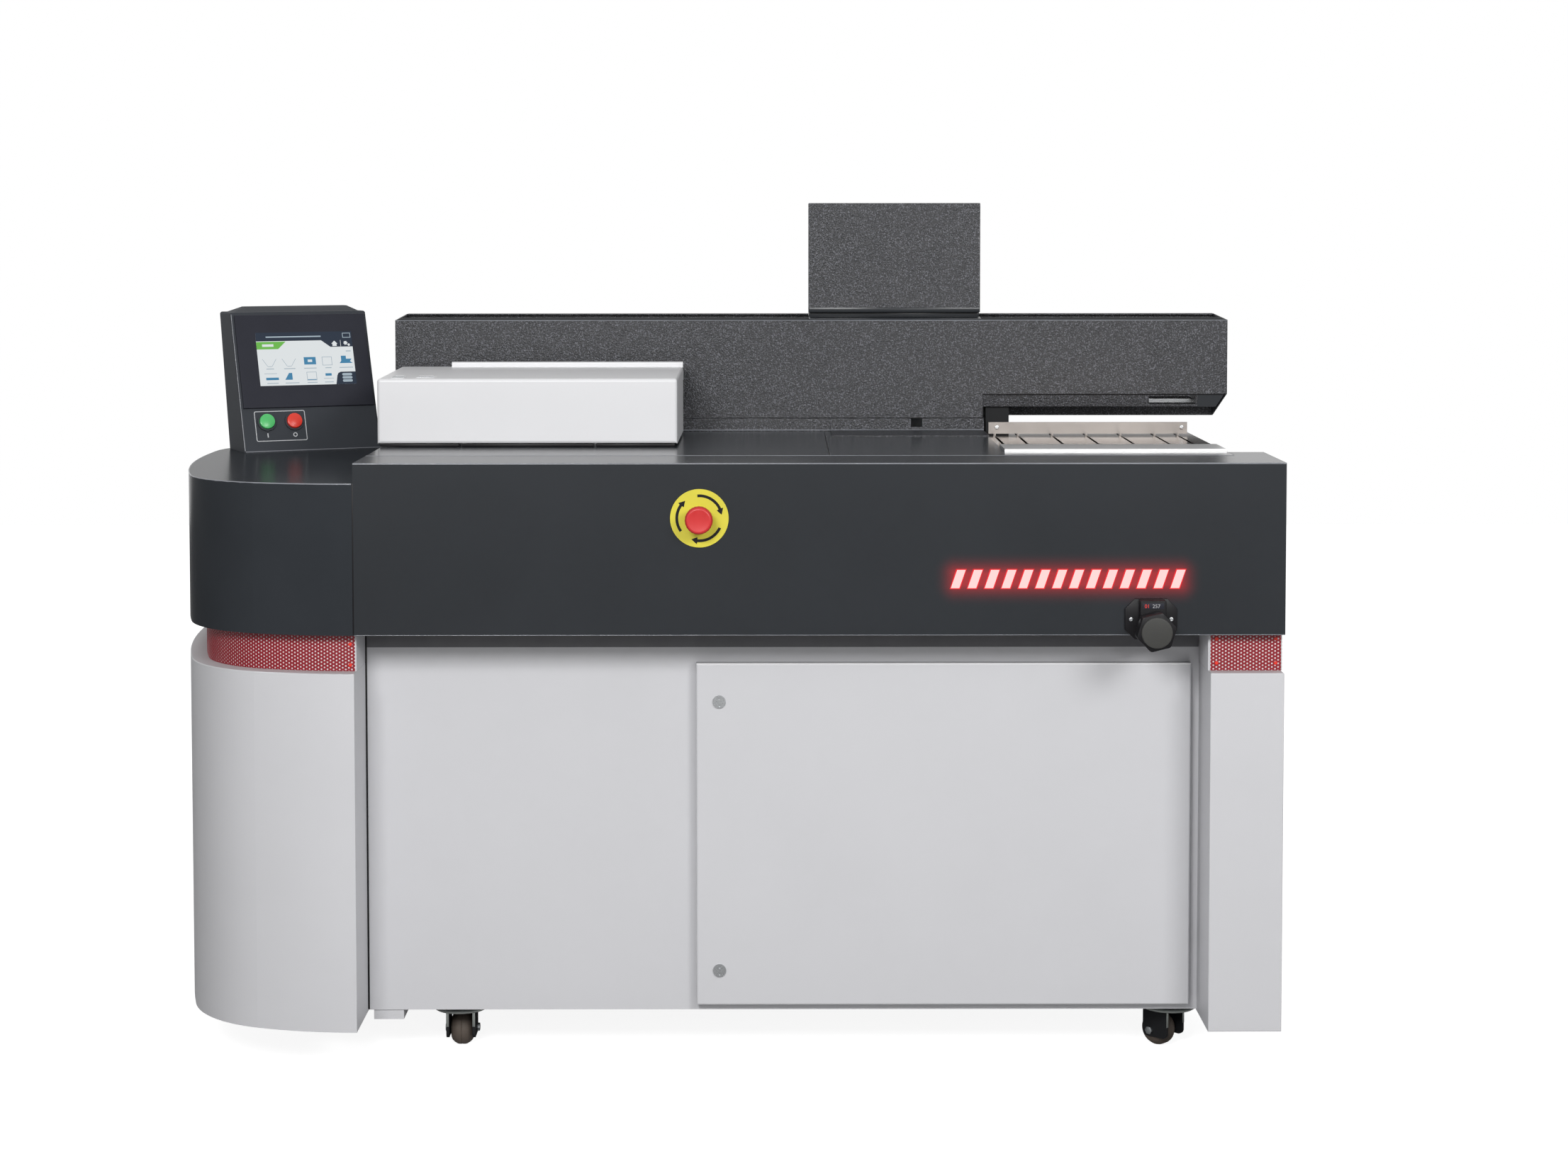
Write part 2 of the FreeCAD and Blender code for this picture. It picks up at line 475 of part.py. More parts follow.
def table():
    z = ("deck_top - deck_sheet", "deck_top - deck_sheet + table_sheet")
    grooves = ["table_mid - groove_step * 2 - groove_end"]
    grooves += [f"table_mid + groove_step * {step}" for step in (-2, -1, 0, 1, 2)]
    grooves.append("table_mid + groove_step * 2 + groove_end")
    edges = ["table_left"]
    for groove in grooves:
        edges += [f"{groove} - groove / 2", f"{groove} + groove / 2"]
    edges.append("side_right")
    y = ("table_bar_y + table_bar_deep", "table_rear")
    keep("table_plates", group("table_strips", *[
        block("strip", (edges[n], edges[n + 1]), y, z) for n in range(0, len(edges), 2)]))
    bar = block("bar", ("table_left", "side_right"), ("table_bar_y", y[0]),
                ("deck_top - deck_sheet", "deck_top + bar_rise"))
    keep("table_front_bar", rounded("front_bar", bar, 0.8, lambda b: b.ZMin > size("deck_top")))

    low = "deck_top - deck_sheet + table_sheet + run_gap"
    rail = block("lay", ("stop_left", "stop_right"), ("stop_y", "stop_y + stop_sheet"),
                 (f"{low} + rail_lift", f"{low} + stop_tall"))
    fingers = [block("finger_sheet", (f"{groove} - finger / 2", f"{groove} + finger / 2"),
                     ("stop_y", "stop_y + 12"), ("deck_top - cross_drop + 12", f"{low} + 7"))
               for groove in grooves]
    cross = block("cross", ("stop_left + 3", "stop_right - 8"), ("stop_y - 3", "stop_y + 12"),
                  ("deck_top - cross_drop", "deck_top - cross_drop + 12"))
    riser = block("riser", ("screw_x - 15", "screw_x + 15"), ("stop_y", "stop_y + 6"),
                  ("screw_z + nut_half", "deck_top - cross_drop"))
    nut_y = ("stop_y - nut_deep / 2 + 3", "stop_y + nut_deep / 2 + 3")
    nut = cut("nut", block("nut_block", ("screw_x - nut_half", "screw_x + nut_half"), nut_y,
                           ("screw_z - nut_half", "screw_z + nut_half")),
              rod("nut_bore", "y", ("screw_x", "screw_z"), nut_y, "screw_r + screw_fit"))
    keep("cover_lay_rail", group("lay_parts", fuse("lay_rail", rail, *fingers),
                                 fuse("lay_bracket", cross, riser, nut)))

    behind = "knob_face + knob_thick"
    axis = ("screw_x", "screw_z")
    screw = rod("screw", "y", axis, (behind, "screw_end"), "screw_r")
    keep("lead_screw", screw)

    corner = size("knob_corner")
    hexagon = [(size("screw_x") + corner * math.cos(math.radians(14 + 60 * k)),
                size("screw_z") + corner * math.sin(math.radians(14 + 60 * k)))
               for k in range(6)]
    grip = prism("grip", hexagon, "y", "knob_face + 4", behind)
    dome = rod("dome", "y", axis, ("knob_face", "knob_face + 4"), "knob_corner - 6.5")
    keep("adjust_knob", fuse("knob", grip, dome))

    half_x, half_z = size("indicator_wide") / 2, size("indicator_tall") / 2
    clip = 14
    octagon = []
    for sx, sz, first in ((1, 1, 1), (-1, 1, 0), (-1, -1, 1), (1, -1, 0)):
        pair = [(sx * half_x, sz * (half_z - clip)), (sx * (half_x - clip), sz * half_z)]
        octagon += pair if first else pair[::-1]
    octagon = [(size("indicator_x") + a, size("indicator_z") + b) for a, b in octagon]
    plate = prism("indicator_flange", octagon, "y", "front_y - 5", "front_y")
    raised = block("indicator_block", ("indicator_x - 18", "indicator_x + 19"),
                   ("front_y - indicator_deep", "front_y"),
                   ("indicator_z - indicator_tall / 2", "indicator_z + indicator_tall / 2"))
    keep("position_indicator", cut("indicator", fuse("indicator_case", plate, raised), rod(
        "indicator_bore", "y", axis, ("front_y - indicator_deep", "front_y"),
        "screw_r + screw_fit")))


def emergency_stop():
    axis = ("stop_x", "stop_z")
    skin = ("front_y - disc_sheet", "front_y")
    disc = cut("stop_disc", rod("disc", "y", axis, skin, "disc_r"),
               rod("disc_bore", "y", axis, skin, "barrel_r + 0.2"))
    reach = ("front_y - disc_sheet - 13", "front_y + 28")
    collar = rod("collar", "y", axis, (reach[0], skin[0]), "collar_r")
    barrel = rod("barrel", "y", axis, (skin[0], reach[1]), "barrel_r")
    bore = rod("stop_bore", "y", axis, reach, "stem_r + stem_fit")
    keep("stop_base", group("stop_housing", disc, cut("stop_collar", fuse(
        "stop_body", collar, barrel), bore)))
    keep("stop_plunger", rod("stem", "y", axis, ("front_y - 22", "front_y + 15"), "stem_r"))
    head = rod("head", "y", axis, ("front_y - 40", "front_y - 22"), "head_r")
    keep("stop_head", rounded("mushroom", head, 4, lambda b: b.YMax < size("front_y") - 39))


# --- Beam, chain and clamp carriage --------------------------------------------------------

def beam():
    wall = size("wall")
    front, top, rise = size("beam_front"), size("beam_top"), size("beam_rise")
    depth = size("beam_rear") - front
    strip = size("top_strip")
    lift = rise * strip / depth
    inside = ("beam_left + wall", "beam_right - wall")

    def skin(name, low, x):
        outline = [(front, low), (front, top), (front + strip, top + lift),
                   (front + strip, top + lift - wall), (front + wall, top - wall),
                   (front + wall, low)]
        return prism(name, outline, "x", *x)
    tall = skin("cover_tall", size("beam_low"), (inside[0], "beam_step"))
    short = skin("cover_short", size("beam_short"), ("beam_step", inside[1]))
    under_x = ("beam_step", "beam_right - under_end")
    short_z, under_low = size("beam_short"), size("beam_short") - size("under_tall")
    under = [(front + wall, short_z + 8), (front + wall, short_z), (front + 4, short_z - 2),
             (front + 6, under_low), (front + 8, under_low), (front + 6, short_z - 2),
             (front + 6, short_z + 8)]
    window = block("chain_window", ("beam_right - 127", "beam_right - 51"),
                   ("beam_front + 3", "beam_front + 9"), ("beam_short - 17", "beam_short - 4"))
    under_cover = cut("under_cover", prism("under", under, "x", *under_x), window)
    front_cover = rounded("front_cover_edge", fuse("front_cover", tall, short),
                          size("soft_edge"), lambda b: b.YMax < front + 0.1
                          and b.ZMin > top - 0.1 and b.XLength > wall)
    keep("beam_front_cover", group("front_covers", front_cover, under_cover))

    rear_y = size("beam_rear")
    rear_z = top + rise
    low = size("rear_low")

    left = prism("left_cap", [(front, size("beam_low")), (front, top), (rear_y, rear_z),
                              (rear_y, low)], "x", "beam_left", inside[0])
    right = prism("right_cap", [(front, short_z), (front, top), (rear_y, rear_z), (rear_y, low)],
                  "x", inside[1], "beam_right")
    back = [(rear_y - wall, low), (rear_y - wall, rear_z - wall), (rear_y - 12, rear_z - wall),
            (rear_y - 12, rear_z), (rear_y, rear_z), (rear_y, low)]
    keep("beam_rear_cover", fuse("rear_cover", left, right, prism("back", back, "x", *inside)))

    rail_y = ("rail_y", "rail_y + rail_deep")
    tube_top = top - wall + rise * (size("rail_y") - front) / depth - 0.2
    tube = block("beam_tube", inside, rail_y, ("rail_low", str(tube_top)))
    guide_y = (rail_y[1], f"{rail_y[1]} + guide_deep")
    guide = block("guide", ("beam_left + 16", "beam_right - 16"), guide_y,
                  ("guide_low", "guide_low + guide_tall"))
    keep("beam_rail", group("rails", tube, guide))
    posts = [block("post", (post, f"{post} + post_wide"), rail_y, ("bed_low + bed_sheet",
             "rail_low")) for post in ("post_one", "post_two")]
    bracket = block("idler_bracket", ("chain_right - 12", "chain_right + 12"), rail_y,
                    ("chain_z - 12", "rail_low"))
    axle = rod("idler_axle", "y", ("chain_right", "chain_z"),
               (rail_y[1], "chain_y + chain_deep"), "axle_r")
    keep("beam_posts", group("posts", *posts, fuse("idler_mount", bracket, axle)))

    outer, inner = [], []
    chain_y = ("chain_y", "chain_y + chain_deep")
    for name, radius, kept in (("outer", "chain_r + chain_link", outer),
                               ("inner", "chain_r - chain_link", inner)):
        for end in ("chain_left", "chain_right"):
            kept.append(rod(name, "y", (end, "chain_z"), chain_y, radius))
        kept.append(block(name, ("chain_left", "chain_right"), chain_y,
                          (f"chain_z - ({radius})", f"chain_z + ({radius})")))
    keep("drive_chain", cut("chain", fuse("chain_outer", *outer), fuse("chain_inner", *inner)))
    disc_y = ("chain_y + 2", "chain_y + chain_deep - 2")
    disc_r = "chain_r - chain_link - run_gap"
    shaft = rod("drive_shaft", "y", ("chain_left", "chain_z"), (rail_y[1], disc_y[1]), "axle_r")
    drive = rod("drive_disc", "y", ("chain_left", "chain_z"), disc_y, disc_r)
    keep("drive_sprocket", fuse("drive", shaft, drive))
    idler = rod("idler_disc", "y", ("chain_right", "chain_z"), disc_y, disc_r)
    keep("idler_sprocket", cut("idler", idler, rod("idler_bore", "y", ("chain_right", "chain_z"),
                                                   disc_y, "axle_r + axle_fit")))
    gearbox = block("gearbox", ("chain_left - 30", "chain_left + 30"), rail_y,
                    ("chain_z - 32", "rail_low"))
    keep("drive_motor", gearbox)


def carriage():
    blocks = []
    guide_y = "rail_y + rail_deep"
    for side in (-1, 1):
        x = (f"carriage_x + {side * 100} - 30", f"carriage_x + {side * 100} + 30")
        shoe = block("shoe", x, (f"{guide_y} + 2", "plate_y"),
                     ("guide_low - 12", "guide_low + guide_tall + 12"))
        channel = block("channel", x, (guide_y, f"{guide_y} + guide_deep + run_gap"),
                        ("guide_low - run_gap", "guide_low + guide_tall + run_gap"))
        blocks.append(cut("bearing_shoe", shoe, channel))
    plate_y = ("plate_y", "plate_y + plate_sheet")
    plate = block("plate", ("carriage_x - jaw_half", "carriage_x + jaw_half"), plate_y,
                  ("jaw_low + 32", "beam_top - 6"))
    neck = block("neck", ("carriage_x - 100", "carriage_x + 100"), plate_y,
                 ("beam_top - 6", "(tower_low + tower_top) / 2"))
    lug = block("chain_lug", ("carriage_x - 10", "carriage_x + 10"),
                ("chain_y + chain_deep + run_gap", "plate_y"),
                ("chain_z + chain_r - 6", "chain_z + chain_r + 6"))
    jaw_y = ("plate_y + plate_sheet", "plate_y + plate_sheet + jaw_sheet")
    jaw = block("fixed", ("carriage_x - jaw_half", "carriage_x + jaw_half"), jaw_y,
                ("jaw_low", "jaw_top"))
    moving_y = (f"{jaw_y[1]} + grip", f"{jaw_y[1]} + grip + jaw_back")
    moving = block("moving", ("carriage_x - jaw_half", "carriage_x + jaw_half"), moving_y,
                   ("jaw_low", "jaw_top"))
    rods, bores, caps = [], [], []
    for side in ("-", "+"):
        axis = (f"carriage_x {side} rod_half", "rod_z")
        rods.append(rod("jaw_rod", "y", axis, (jaw_y[1], "beam_rear - wall - 3"), "rod_r"))
        bores.append(rod("jaw_bore", "y", axis, moving_y, "rod_r + rod_fit"))
        caps.append(rod("cylinder", "y", axis, ("plate_y - 11", "plate_y"), "rod_r + 4"))
    keep("clamp_carriage", group("carriage_parts", fuse("carriage_plate", plate, neck, lug),
                                 jaw, *rods, *blocks, *caps))
    keep("moving_jaw", cut("moving_jaw_bar", moving, *bores))
    x = ("tower_left", "tower_left + tower_wide")
    tower_rear = "plate_y + plate_sheet + wall"
    tower = block("tower", x, ("tower_front", tower_rear), ("tower_low", "tower_top"))
    tower = rounded("tower_edges", tower, 1.5, lambda b: b.YMax < size("tower_front") + 1
                    and b.ZMin > size("tower_low") + 1 or b.ZMin > size("tower_top") - 1)
    hollow = block("tower_hollow", ("tower_left + wall", "tower_left + tower_wide - wall"),
                   ("tower_front + wall", f"{tower_rear} - wall"),
                   ("tower_low", "tower_top - wall"))
    keep("tower_cover", cut("tower_shell", tower, hollow))


# --- Glue, milling and nipping stations ----------------------------------------------------

def stations():
    x = ("hood_left", "hood_right")
    low, top, rise = size("hood_low"), size("hood_top"), size("hood_rise")
    front, rear, wall = size("hood_front"), size("hood_rear"), size("wall")
    outline = [(front, low), (front, top), (rear, top + rise), (rear, low)]
    inner = [(front + wall, low), (front + wall, top - wall), (rear, top + rise - wall),
             (rear, low)]
    shell = prism("hood_outer", outline, "x", *x)
    shell = rounded("hood_edges", shell, 5, lambda b: b.YMax < front + 1 or (
        b.ZMin > top - 1 and b.YMax > rear - 1 and b.YMin < front + 1))
    hollow = prism("hood_inner", inner, "x", "hood_left + wall", "hood_right - wall")
    strip = block("strip", ("strip_left", "hood_right"), ("hood_rear - 10", "hood_rear"),
                  ("hood_top + hood_rise - 1", "hood_top + hood_rise + hood_strip"))
    strip = rounded("hood_strip", strip, 3, lambda b: b.ZMin > size("hood_top") + 6
                    and b.YMax < size("hood_rear") - 9)
    ears, pins = [], []
    for x_low, x_high, pin_low, pin_high in (
            ("hood_left", "hood_left + wall", "hood_left + wall", "hood_left + 12"),
            ("hood_right - wall", "hood_right", "hood_right - 12", "hood_right - wall")):
        ears.append(block("ear", (x_low, x_high), ("hood_rear", "hood_pivot_y + 7"),
                          ("hood_pivot_z - 8", "hood_pivot_z + 6")))
        pins.append(rod("hood_pin", "x", ("hood_pivot_y", "hood_pivot_z"), (pin_low, pin_high),
                        "hood_pin"))
    keep("glue_hood", fuse("hood", cut("hood_shell", shell, hollow), strip, *ears, *pins))
    rail_x = ("hood_left + wall + run_gap", "hood_right - wall - run_gap")
    rail = block("hood_rail_web", rail_x, ("hood_pivot_y - 6", "hood_pivot_y + 6"),
                 ("deck_top", "hood_pivot_z"))
    crest = rod("hood_crest", "x", ("hood_pivot_y", "hood_pivot_z"), rail_x, "6")
    bore = rod("hood_bore", "x", ("hood_pivot_y", "hood_pivot_z"), rail_x,
               "hood_pin + hood_fit")
    keep("hood_rail", cut("hood_hinge_rail", fuse("hood_rail_body", rail, crest), bore))

    tank = block("tank", ("tank_left", "tank_right"), ("tank_front", "tank_rear"),
                 ("deck_top", "tank_top"))
    cup = rod("cup", "z", ("(tank_left + tank_right) / 2", "(tank_front + tank_rear) / 2"),
              ("tank_top - 62", "tank_top"), "cup_r")
    keep("glue_tank", cut("tank_body", tank, cup))
    pipe_x, pipe_y = "tank_left + 60", "tank_rear - 40"
    drop = rod("drop", "z", (pipe_x, pipe_y), ("pipe_z", "deck_top"), "pipe_r")
    run = rod("run", "y", (pipe_x, "pipe_z"), (pipe_y, "spine_y - 24"), "pipe_r")
    elbow = doc.addObject("Part::Sphere", "elbow")
    elbow.setExpression("Radius", bound("pipe_r"))
    for axis, place in (("x", pipe_x), ("y", pipe_y), ("z", "pipe_z")):
        elbow.setExpression(f"Placement.Base.{axis}", bound(place))
    pipe = fuse("glue_line", drop, elbow, run)
    base = block("nozzle_base", ("tank_left + 40", "tank_left + 200"),
                 ("spine_y - 24", "frame_rear - 3"), ("bed_low + bed_sheet", "deck_top - 30"))
    head = block("nozzle_head", ("tank_left + 50", "tank_left + 190"),
                 ("spine_y - 12", "spine_y + 10"), ("deck_top - 30", "deck_top + 4"))
    slot = block("nozzle_slot", ("tank_left + 70", "tank_left + 170"),
                 ("spine_y - 2.5", "spine_y + 2.5"), ("deck_top - 10", "deck_top + 4"))
    keep("glue_nozzle", group("glue_line_parts", cut("nozzle", fuse("nozzle_body", base, head),
                                                     slot), pipe))

    axis = ("mill_x", "mill_y")
    under = "mill_top - mill_thick"
    motor = rod("motor", "z", axis, ("bed_low + bed_sheet", f"{under} - 40"), "mill_r - 11")
    shaft_bore = rod("motor_bore", "z", axis, (f"{under} - 70", f"{under} - 40"), "10 + axle_fit")
    keep("milling_motor", cut("mill_motor", motor, shaft_bore))
    shaft = rod("mill_shaft", "z", axis, (f"{under} - 69", under), "10")
    disc = rod("mill_disc", "z", axis, (under, "mill_top"), "mill_r - 3")
    teeth = []
    for tooth in range(12):
        turn = math.radians(30 * tooth)
        piece = rod("tooth", "z", (f"mill_x + (mill_r - 6) * {math.cos(turn):.6f}",
                                   f"mill_y + (mill_r - 6) * {math.sin(turn):.6f}"),
                    (under, "mill_top"), "6")
        teeth.append(piece)
    keep("milling_cutter", fuse("mill_cutter", shaft, disc, *teeth))

    bar_x = ("post_two + post_wide + 3", "side_right - 12")
    bar_z = ("deck_top - 44", "deck_top - 4")
    fixed = block("nip_fixed", bar_x, ("spine_y - 29", "spine_y - 15"), bar_z)
    stand = block("nip_stand", bar_x, ("spine_y - 29", "frame_rear - 1"),
                  ("deck_top - 56", "deck_top - 44"))
    legs = [block("nip_leg", (x, f"{x} + 14"), ("spine_y - 29", "frame_rear - 1"),
                  ("bed_low + bed_sheet", "deck_top - 56"))
            for x in ("post_two + post_wide + 3", "frame_right - 58")]
    keep("nip_bar_fixed", fuse("nip_frame", fixed, stand, *legs))
    keep("nip_bar_moving", block("nip_moving", bar_x, ("spine_y + 1", "frame_rear - 0.4"),
                                 ("deck_top - 43.7", "deck_top - 4")))


# --- Console -------------------------------------------------------------------------------

def console():
    lean = math.radians(size("console_lean"))
    tall, deep, foot = size("console_tall"), size("console_deep"), size("console_foot")
    head = (tall * math.sin(lean), tall * math.cos(lean))
    back = (head[0] + deep * math.cos(lean), head[1])
    yaw = FreeCAD.Rotation(FreeCAD.Vector(0, 0, 1), size("console_yaw"))
    tilt = FreeCAD.Rotation(FreeCAD.Vector(1, 0, 0), -size("console_lean"))
    corner = FreeCAD.Vector(size("console_x"), size("console_y"),
                            size("deck_top") - size("drum_drop"))
    upright = FreeCAD.Placement(corner, yaw)
    face = FreeCAD.Placement(corner, yaw * tilt)

    profile = [FreeCAD.Vector(0, y, z) for y, z in ((0, 0), head, back, (foot, 0))]
    side = Part.Face(Part.makePolygon(profile + profile[:1]))
    solid = side.extrude(FreeCAD.Vector(size("console_wide"), 0, 0))
    edges = [edge for edge in solid.Edges if edge.BoundBox.ZMax > 1]
    solid = solid.makeFillet(4, edges)
    solid.Placement = upright

    def disc(along, low, high, radius, up=None):
        """A round piece square to the console's face, low and high measured out of it."""
        middle = FreeCAD.Vector(along, -low, up)
        item = Part.makeCylinder(radius, high - low, middle, FreeCAD.Vector(0, -1, 0))
        item.Placement = face
        return item

    up = size("button_up")
    radius, proud = size("button_r"), size("button_proud")
    places = [size("button_left"), size("button_left") + size("button_step")]
    for along in places:
        solid = solid.cut(disc(along, -12, 6, radius + 0.7, up))
    left = (size("console_wide") - size("bezel_wide")) / 2
    bezel = Part.makeBox(size("bezel_wide"), size("bezel_thick"), size("bezel_tall"),
                         FreeCAD.Vector(left, -size("bezel_thick"), size("bezel_up")))
    bezel = bezel.makeFillet(1.2, [e for e in bezel.Edges if e.BoundBox.YMax < -1])
    bezel.Placement = face
    keep("display_panel", shape("display", bezel))
    rings = [disc(along, 0, 3, radius + 3, up).cut(disc(along, 0, 3, radius + 0.3, up))
             for along in places]
    keep("console_housing", shape("housing", Part.Compound([solid] + rings)))
    for node, along in zip(("start_button", "stop_button"), places):
        keep(node, shape(node + "_cap", disc(along, -6, proud, radius, up)))


def sign():
    """Slanted light bars on the fascia."""
    low, top = size("sign_low"), size("sign_low") + size("sign_tall")
    wide, slant = size("sign_bar"), size("sign_slant")
    bars = []
    for step in range(int(size("sign_count"))):
        x = size("sign_left") + step * size("sign_pitch")
        outline = [(x, low), (x + wide, low), (x + wide + slant, top), (x + slant, top)]
        bars.append(prism("sign_bar", outline, "y", "front_y - sign_proud", "front_y"))
    keep("sign_bars", group("sign", *bars))


# --- Casters -------------------------------------------------------------------------------

def casters():
    top = size("caster_top")
    plate_low = top - size("caster_plate")
    race_low = plate_low - 11
    half = size("wheel_wide") / 2
    axle, trail = size("wheel_r"), size("trail")

    def fork(fixed):
        """A fork with its race, its wheel bolt and, on a fixed caster, no kingpin bore."""
        race = Part.makeCylinder(size("race_r"), plate_low - race_low - 0.3,
                                 FreeCAD.Vector(0, 0, race_low))
        legs = []
        for side in (-1, 1):
            x = half + 1.5 if side > 0 else -half - 5.5
            leg = Part.makeBox(4, trail + 26, race_low + 2 - (axle - 9),
                               FreeCAD.Vector(x, -13, axle - 9))
            outer = [e for e in leg.Edges if e.BoundBox.ZMax < axle - 8 and e.BoundBox.XLength > 3]
            legs.append(leg.makeFillet(8, outer))
        bolt = Part.makeCylinder(size("axle_r"), 2 * half + 18,
                                 FreeCAD.Vector(-half - 9, trail, axle), FreeCAD.Vector(1, 0, 0))
        solid = race.fuse(legs + [bolt]).removeSplitter()
        if not fixed:
            solid = solid.cut(Part.makeCylinder(size("king_r") + size("king_fit"), 40,
                                                FreeCAD.Vector(0, 0, race_low - 10)))
        return solid

    def wheel():
        start = FreeCAD.Vector(-half, trail, axle)
        along = FreeCAD.Vector(1, 0, 0)
        solid = Part.makeCylinder(axle, 2 * half, start, along)
        solid = solid.makeFillet(5, [e for e in solid.Edges if e.BoundBox.XLength < 1])
        solid = solid.cut(Part.makeCylinder(size("axle_r") + size("axle_fit"), 2 * half,
                                            start, along))
        return solid

    places = {
        "front_left": (size("caster_left"), size("caster_front"), 0),
        "front_right": (size("caster_right"), size("caster_front"), size("turned")),
        "rear_left": (size("caster_left"), size("caster_rear"), 0),
        "rear_right": (size("caster_right"), size("caster_rear"), 0),
    }
    fixed = []
    for corner, (x, y, turn) in places.items():
        square = FreeCAD.Placement(FreeCAD.Vector(x, y, 0), FreeCAD.Rotation())
        place = FreeCAD.Placement(FreeCAD.Vector(x, y, 0),
                                  FreeCAD.Rotation(FreeCAD.Vector(0, 0, 1), turn))
        reach = size("plate_half")
        inward = size("plate_shift") if x > 0 else 0
        plate = Part.makeBox(2 * reach, 2 * reach, top - plate_low,
                             FreeCAD.Vector(-reach - inward, -reach, plate_low))
        swivels = corner.startswith("front")
        if swivels:
            pin = Part.makeCylinder(size("king_r"), plate_low - race_low + 6,
                                    FreeCAD.Vector(0, 0, race_low - 6))
            plate = plate.fuse(pin)
            keep("fork_" + corner, shape("swivel_fork", fork(False), place))
        else:
            plate = plate.fuse(fork(True).fuse(Part.makeCylinder(
                20, 0.3, FreeCAD.Vector(0, 0, plate_low - 0.3))))
        plate.Placement = square
        fixed.append(plate)
        keep("wheel_" + corner, shape("wheel", wheel(), place))
    keep("caster_plates", shape("plates", Part.Compound(fixed)))


frame()
covers()
door()
table()
emergency_stop()
beam()
carriage()
stations()
console()
sign()
casters()
doc.recompute()

for item in doc.Objects:
    if {"Invalid", "Error"} & set(item.State):
        raise RuntimeError(f"{item.Label} failed: {item.State}")
for item in nodes:
    if item.Shape.isNull() or not item.Shape.isValid():
        raise RuntimeError(f"{item.Label} has no valid shape")
os.makedirs("parts", exist_ok=True)
for item in nodes:
    item.Shape.exportStep(f"parts/{item.Label}.step")
print(len(nodes), "nodes written")
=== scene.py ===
import json
import math

import bpy
from mathutils import Euler, Matrix, Vector


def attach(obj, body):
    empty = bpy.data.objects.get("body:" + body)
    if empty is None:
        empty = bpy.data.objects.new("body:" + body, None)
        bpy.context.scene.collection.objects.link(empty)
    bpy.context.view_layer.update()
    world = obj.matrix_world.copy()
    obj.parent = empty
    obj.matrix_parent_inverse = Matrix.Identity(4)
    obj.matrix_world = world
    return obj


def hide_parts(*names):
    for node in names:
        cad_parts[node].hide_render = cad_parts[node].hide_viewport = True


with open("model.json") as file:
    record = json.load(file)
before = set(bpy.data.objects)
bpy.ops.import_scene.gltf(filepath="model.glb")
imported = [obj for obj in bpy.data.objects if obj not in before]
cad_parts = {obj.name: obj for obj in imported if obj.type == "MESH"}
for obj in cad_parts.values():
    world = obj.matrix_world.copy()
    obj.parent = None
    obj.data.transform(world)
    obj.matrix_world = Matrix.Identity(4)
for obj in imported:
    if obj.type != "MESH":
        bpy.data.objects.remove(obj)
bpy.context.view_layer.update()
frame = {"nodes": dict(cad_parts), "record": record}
bpy.ops.object.select_all(action="DESELECT")
nodes = frame["nodes"]
MM = 0.001

# --- Finishes ----------------------------------------------------------------------------------


def paint(code):
    """An sRGB hex colour as the linear colour that shaders take."""
    channels = [int(code[i:i + 2], 16) / 255 for i in (0, 2, 4)]
    return [c / 12.92 if c <= 0.04045 else ((c + 0.055) / 1.055) ** 2.4 for c in channels] + [1]


def add(tree, kind, settings=None, **links):
    """Adds a shader node with its settings and links. A link names its input, with underscores
    for spaces, or gives its number after an underscore."""
    item = tree.nodes.new(kind)
    for name, value in (settings or {}).items():
        if isinstance(name, int) or name in item.inputs:
            item.inputs[name].default_value = value
        else:
            setattr(item, name, value)
    for name, source in links.items():
        place = int(name[1:]) if name[1:].isdigit() else name.replace("_", " ")
        tree.links.new(source, item.inputs[place])
    return item


def finish(name, **settings):
    """A material with one Principled shader: its tree, the shader and the Object coordinates."""
    material = bpy.data.materials.new(name)
    material.use_nodes = True
    tree = material.node_tree
    shader = tree.nodes["Principled BSDF"]
    for key, value in settings.items():
        shader.inputs[key.replace("_", " ")].default_value = value
    place = add(tree, "ShaderNodeTexCoord").outputs["Object"]
    return material, tree, shader, place


def shade(tree, shader, factor, low, high):
    """Mixes two colours by a factor into the shader's base colour."""
    mix = add(tree, "ShaderNodeMix", {"data_type": "RGBA"}, _0=factor)
    mix.inputs[6].default_value = low
    mix.inputs[7].default_value = high
    tree.links.new(mix.outputs[2], shader.inputs["Base Color"])


def between(tree, value, low, high, out_low=0.0, out_high=1.0):
    """Maps a value from one range to another, clamped."""
    return add(tree, "ShaderNodeMapRange", {"From Min": low, "From Max": high, "To Min": out_low,
                                            "To Max": out_high}, Value=value).outputs[0]


def emboss(tree, shader, height, depth, strength=1.0):
    """Bump from a height pattern; depth is in metres."""
    bump = add(tree, "ShaderNodeBump", {"Distance": depth, "Strength": strength}, Height=height)
    tree.links.new(bump.outputs[0], shader.inputs["Normal"])


def coated(name, code, rough, grain_mm, depth_mm, fade=0.06, gloss=0.5):
    """Powder coating to add nodes to: an even colour, fine orange peel, a slight cloudiness."""
    material, tree, shader, place = finish(name, Roughness=rough, Specular_IOR_Level=gloss)
    peel = add(tree, "ShaderNodeTexNoise", {"Scale": 1000 / grain_mm, "Detail": 2.0}, Vector=place)
    cloud = add(tree, "ShaderNodeTexNoise", {"Scale": 6.0, "Detail": 3.0}, Vector=place)
    colour = paint(code)
    low = [c * (1 - fade) for c in colour[:3]] + [1]
    high = [c * (1 + fade) for c in colour[:3]] + [1]
    shade(tree, shader, between(tree, cloud.outputs[0], 0.3, 0.7), low, high)
    emboss(tree, shader, peel.outputs[0], depth_mm * MM)
    return material, tree, shader, place


def powder_coat(*look):
    """A powder coating with nothing added."""
    return coated(*look)[0]


